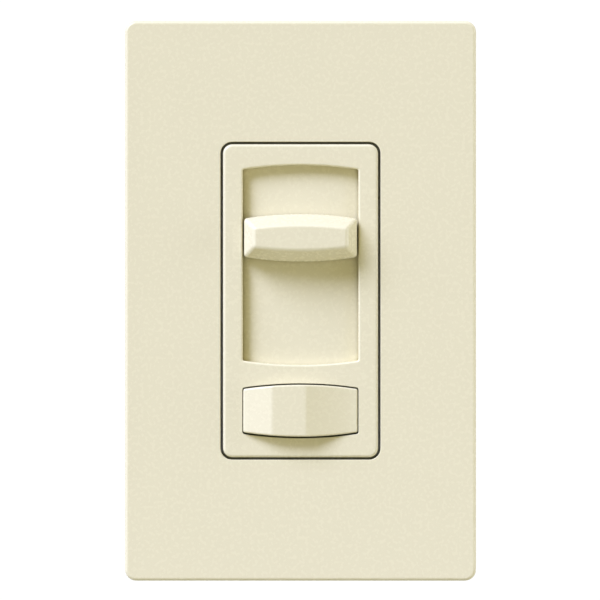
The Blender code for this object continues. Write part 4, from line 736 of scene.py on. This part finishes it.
def make_rivets():
    """Tubes with a rolled flange at each end."""
    front, back = WALL_Y - YOKE_T - 0.1, COVER_HIGH.y + 0.1
    half = [(2.3, 0.0), (2.3, 0.2), (2.15, 0.42), (1.8, 0.55), (1.4, 0.52), (RIVET_BORE_R, 0.35)]
    profile = [(1.6, back)] + [(radius, back + reach) for radius, reach in half]
    profile += [(radius, front - reach) for radius, reach in reversed(half)] + [(1.6, front)]
    for (x, z), name in zip(RIVETS, ("lower_left", "upper_left", "lower_right", "upper_right")):
        shape = bmesh.new()
        turned(shape, profile, x, z, gap_shade_share=True)
        piece("tubular_rivet_" + name, shape, "frame", "brushed_aluminium", ["rivet_" + name])


def make_screws():
    """Slotted pan heads on threaded shanks."""
    for name, z, head_r, head_t in (
        ("mounting_screw_top", BOX_SCREW_Z, 3.4, 2.2),
        ("mounting_screw_bottom", -BOX_SCREW_Z, 3.4, 2.2),
        ("adapter_screw_top", PLATE_SCREW_Z, 3.1, 1.9),
        ("adapter_screw_bottom", -PLATE_SCREW_Z, 3.1, 1.9),
    ):
        low, high = limits(name)
        crown, tip = low.y, high.y
        under = crown + head_t
        head, slot = bmesh.new(), bmesh.new()
        arc = [math.radians(90.0 * i / 6) for i in range(7)]
        dome = [(head_r * math.sin(a), crown + 0.5 * head_t * (1 - math.cos(a))) for a in arc]
        turned(head, dome + [(head_r, under - 0.15), (head_r - 0.15, under), (0.0, under)], 0.0, z, 48)
        block(slot, (-head_r - 1, head_r + 1), (crown - 1, crown + head_t / 2), (z - 0.5, z + 0.5), 0.1)
        shape = carved(head, slot)
        add_thread(shape, z, under - 0.3, tip)
        piece("pan_head_" + name, shape, "frame", "zinc_plating", [name])


def add_thread(shape, z, start, tip, sides=24, per_turn=8):
    """A threaded shank that tapers at its tip."""
    rings = []
    count = round((tip - start) / THREAD_PITCH * per_turn)
    for i in range(count + 1):
        y = start + (tip - start) * i / count
        taper = min(1.0, (tip - y) / 1.0)
        ring = []
        for k in range(sides):
            phase = (y / THREAD_PITCH - k / sides) % 1.0
            ridge = min(1.0, 1.35 * (1 - abs(2 * phase - 1)))
            radius = SCREW_CORE_R - 0.35 * (1 - taper) + (SCREW_R - SCREW_CORE_R) * ridge * taper
            turn = 2 * math.pi * k / sides
            ring.append((radius * math.cos(turn), y, z + radius * math.sin(turn)))
        rings.append(ring)
    loft(shape, rings)


def lead_path(x):
    """Straight out of the rear wall, then bent down behind the housing."""
    out, bend, drop, sway = COVER_HIGH.y + 6.9, 7.0, 58.0, 4.0
    path = [Vector((x, y, LEAD_Z)) for y in (WALL_Y + 8.9, COVER_HIGH.y - 2.0, COVER_HIGH.y + 2.0, out)]
    for i in range(1, 13):
        turn = math.radians(7.5 * i)
        path.append(Vector((x, out + bend * math.sin(turn), LEAD_Z - bend * (1 - math.cos(turn)))))
    for i in range(1, 25):
        share = i / 24
        wave = math.sin(math.pi / 2 * share)
        across, down = x * (1 + 0.35 * wave), LEAD_Z - bend - drop * share
        path.append(Vector((across, out + bend - sway * wave ** 2, down)))
    return path


def make_leads():
    """Jackets with a bore at the end, and seven twisted strands that come out of it."""
    for name, x in LEAD_XS.items():
        path = lead_path(x)
        along = (path[-1] - path[-2]).normalized()
        end = path[-1]
        colour = "green_jacket" if name == "ground" else "black_jacket"
        shape = bmesh.new()
        radii = [LEAD_R] * len(path) + [LEAD_R - 0.15, BORE_R]
        rings = tube_rings(path[:-1] + [end - along * 0.15, end, end], radii, 20)
        loft(shape, rings + tube_rings([end, end - along * 3.0], [BORE_R, BORE_R], 20)[1:])
        piece("jacket_" + name, shape, "frame", colour, ["lead_" + name])
        shape = bmesh.new()
        across = along.orthogonal().normalized()
        other, start = along.cross(across), end - along * STRAND_HIDDEN
        length, steps = BARE_LENGTH + STRAND_HIDDEN, 40
        for strand in range(7):
            points = []
            for i in range(steps + 1):
                turn = 2 * math.pi * (strand / 6 + STRAND_TURNS * i / steps)
                offset = 0.0 if strand == 6 else STRAND_OFFSET
                centre = start + along * (length * i / steps)
                points.append(centre + offset * (math.cos(turn) * across + math.sin(turn) * other))
            loft(shape, tube_rings(points, [STRAND_R] * steps + [0.2], 10))
        piece("strands_" + name, shape, "frame", "bright_copper", ["conductor_" + name])


def make_spring():
    """A compression spring with closed ends."""
    low, high = limits("button_spring")
    wire, coil_r, turns, per_turn = 0.3, 2.9, 6.0, 32
    end_share, end_rise = 0.12, 0.14
    count = int(turns * per_turn)
    points = []
    for i in range(count + 1):
        turn = 2 * math.pi * i / per_turn
        share = i / count
        open_share = min(max((share - end_share) / (1 - 2 * end_share), 0.0), 1.0)
        eased = open_share * (1 - end_rise) + share * end_rise
        y = low.y + wire + eased * (high.y - low.y - 2 * wire)
        points.append(Vector((coil_r * math.cos(turn), y, BUTTON_Z + coil_r * math.sin(turn))))
    shape = bmesh.new()
    loft(shape, tube_rings(points, [wire] * len(points), 10))
    spring = piece("coil_spring", shape, "frame", "zinc_plating", ["button_spring"])
    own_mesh(spring)


def make_winding():
    """The choke's wire, wound turn by turn round the core, with a gap where its ends come out."""
    x, z, inner, outer, height, wire = -8.3, -2.4, 5.0, 9.4, 8.0, 0.45
    middle_y, middle_r = WALL_Y + 10.2 + height / 2, (inner + outer) / 2
    half_h, half_w, corner = height / 2 + wire + 0.15, (outer - inner) / 2 + wire + 0.15, 0.9
    section = rounded(half_w, half_h, corner, steps=3)
    turns, start, stop = 34, math.radians(22.0), math.radians(338.0)
    count = turns * len(section)
    points = []
    for i in range(count + 1):
        reach, depth = section[i % len(section)]
        angle = start + (stop - start) * i / count
        radius = middle_r + reach
        points.append(Vector((x + radius * math.cos(angle), middle_y + depth, z + radius * math.sin(angle))))
    shape = bmesh.new()
    loft(shape, tube_rings(points, [wire] * len(points), 8))
    piece("wound_wire", shape, "frame", "bright_copper", ["choke_winding"])


# ---- carried-over CAD nodes -------------------------------------------------------------------

FINISH_OF_SLOT = {
    "ivory_plastic": "satin_ivory",
    "black_thermoplastic": "black_moulding",
    "aluminium": "brushed_aluminium",
    "zinc_plated_steel": "zinc_plating",
    "copper_alloy": "bright_copper",
    "red_fibre": "red_fibre",
    "board_laminate": "green_laminate",
    "phenolic_resin": "brown_resin",
    "yellow_coating": "yellow_coating",
    "yellow_plastic": "yellow_coating",
    "green_insulation": "green_jacket",
}


def dress_cad_nodes():
    """Every CAD node that is still shown gets its finish and rounded edges."""
    for entry in frame["record"]["subparts"]:
        node = frame["nodes"][entry["node"]]
        if node.hide_render:
            continue
        node.data.materials.clear()
        node.data.materials.append(bpy.data.materials[FINISH_OF_SLOT[entry["material_slot"]]])
        weld = node.modifiers.new("weld", "WELD")
        weld.merge_threshold = 0.002 * MM
        flat = node.modifiers.new("merge_flat_faces", "DECIMATE")
        flat.decimate_type = "DISSOLVE"
        flat.angle_limit = math.radians(0.5)
        soften(node, 0.12, 35.0, 2)


# ---- stage ------------------------------------------------------------------------------------

VIEW_WIDTH = 127.6
CAMERA_DISTANCE = 2000.0
FLOOR_GAP = 25.0


def make_stage():
    """A pale floor that is seen from above only, so that the object can be looked at from below."""
    shape = bmesh.new()
    bmesh.ops.create_circle(shape, cap_ends=True, segments=96, radius=0.55)
    mesh = bpy.data.meshes.new("floor")
    shape.to_mesh(mesh)
    shape.free()
    floor = bpy.data.objects.new("floor", mesh)
    floor.location = (0.0, 0.0, (PLATE_LOW.z - FLOOR_GAP) * MM)
    bpy.context.scene.collection.objects.link(floor)
    made = bpy.data.materials.new("pale_floor")
    made.use_nodes = True
    tree = made.node_tree
    shader = tree.nodes["Principled BSDF"]
    shader.inputs["Base Color"].default_value = (0.86, 0.85, 0.8, 1.0)
    shader.inputs["Roughness"].default_value = 0.9
    shader.inputs["Emission Color"].default_value = (0.5, 0.6, 1.0, 1.0)
    shader.inputs["Emission Strength"].default_value = 0.25
    side = tree.nodes.new("ShaderNodeNewGeometry")
    clear = tree.nodes.new("ShaderNodeBsdfTransparent")
    either = tree.nodes.new("ShaderNodeMixShader")
    link(tree, side, either, "Backfacing", 0)
    link(tree, shader, either, "BSDF", 1)
    link(tree, clear, either, "BSDF", 2)
    link(tree, either, tree.nodes["Material Output"], "Shader", "Surface")
    mesh.materials.append(made)
    floor.visible_diffuse = False
    floor.visible_shadow = False


def make_world(left, right):
    """White behind the object and in what its edges mirror. The dim light round it is left's colour on
    the left and right's on the right, and grey from behind."""
    world = bpy.data.worlds.new("studio")
    world.use_nodes = True
    bpy.context.scene.world = world
    tree = world.node_tree
    tree.nodes.clear()
    output = tree.nodes.new("ShaderNodeOutputWorld")
    background = tree.nodes.new("ShaderNodeBackground")
    rays = tree.nodes.new("ShaderNodeLightPath")
    coordinates = tree.nodes.new("ShaderNodeTexCoord")
    direction = tree.nodes.new("ShaderNodeSeparateXYZ")
    link(tree, coordinates, direction, "Generated", "Vector")
    around = blend_colours(tree, spread(tree, direction.outputs["X"], 0.0, 1.0, -1.0, 1.0), left, right)
    behind = spread(tree, direction.outputs["Y"], 0.0, 1.0, 0.0, 0.5)
    around = blend_colours(tree, behind, around, (0.5, 0.5, 0.48, 1.0))
    rim = tree.nodes.new("ShaderNodeMath")
    rim.operation = "MULTIPLY"
    tree.links.new(spread(tree, direction.outputs["Y"], 0.0, 1.0, -0.4, 0.3), rim.inputs[0])
    tree.links.new(rays.outputs["Is Glossy Ray"], rim.inputs[1])
    around = blend_colours(tree, rim.outputs["Value"], around, (1.0, 1.0, 1.0, 1.0))
    seen = rays.outputs["Is Camera Ray"]
    tree.links.new(blend_colours(tree, seen, around, (1.05, 1.05, 1.05, 1.0)), background.inputs["Color"])
    link(tree, background, output, "Background", "Surface")


def make_sun(name, towards, strength, softness, colour, only_glints=False):
    """A soft light that shines from a direction."""
    light = bpy.data.lights.new(name, "SUN")
    light.energy = strength
    light.color = colour
    light.angle = math.radians(softness)
    obj = bpy.data.objects.new(name, light)
    obj.rotation_mode = "QUATERNION"
    obj.rotation_quaternion = Vector(towards).to_track_quat("Z", "Y")
    obj.visible_diffuse = not only_glints
    bpy.context.scene.collection.objects.link(obj)


def make_camera():
    """Straight ahead and far away, as the photograph shows next to no perspective."""
    camera = bpy.data.cameras.new("camera")
    camera.sensor_width = 36.0
    camera.lens = 36.0 * CAMERA_DISTANCE / VIEW_WIDTH
    camera.clip_start, camera.clip_end = 0.1, 20.0
    camera.shift_x, camera.shift_y = -0.0009, 0.0013
    obj = bpy.data.objects.new("camera", camera)
    obj.location = (0.0, (PLATE_FRONT - CAMERA_DISTANCE) * MM, 0.0)
    obj.rotation_euler = (math.radians(90.0), 0.0, 0.0)
    bpy.context.scene.collection.objects.link(obj)
    bpy.context.scene.camera = obj


make_finishes()
make_faceplate()
make_bezel()
make_knob()
make_button()
make_yoke()
make_housing()
make_rivets()
make_screws()
make_leads()
make_spring()
make_winding()
dress_cad_nodes()
make_stage()
make_world((0.19, 0.172, 0.074, 1.0), (0.41, 0.375, 0.16, 1.0))
make_sun("key", (-0.97, -1.0, 1.27), 3.88, 30.0, (0.70, 0.735, 0.97))
make_sun("left_key", (-1.7, -0.8, 0.95), 0.8, 30.0, (0.69, 0.725, 0.96))
make_sun("left_fill", (-1.0, -0.35, 0.1), 0.2, 50.0, (0.8, 0.85, 1.0))
make_sun("side_fill", (1.0, -0.1, 0.1), 1.4, 40.0, (0.82, 0.85, 1.0))
make_sun("low_fill", (0.0, -0.4, -1.0), 0.5, 60.0, (1.0, 1.0, 1.0))
make_sun("left_glint", (-0.8, -0.62, 0.1), 0.48, 35.0, (1.0, 1.0, 1.0), only_glints=True)
make_sun("top_glint", (0.0, -0.6, 0.8), 0.45, 30.0, (1.0, 1.0, 1.0), only_glints=True)
make_camera()
bpy.context.scene.view_settings.view_transform = "Standard"
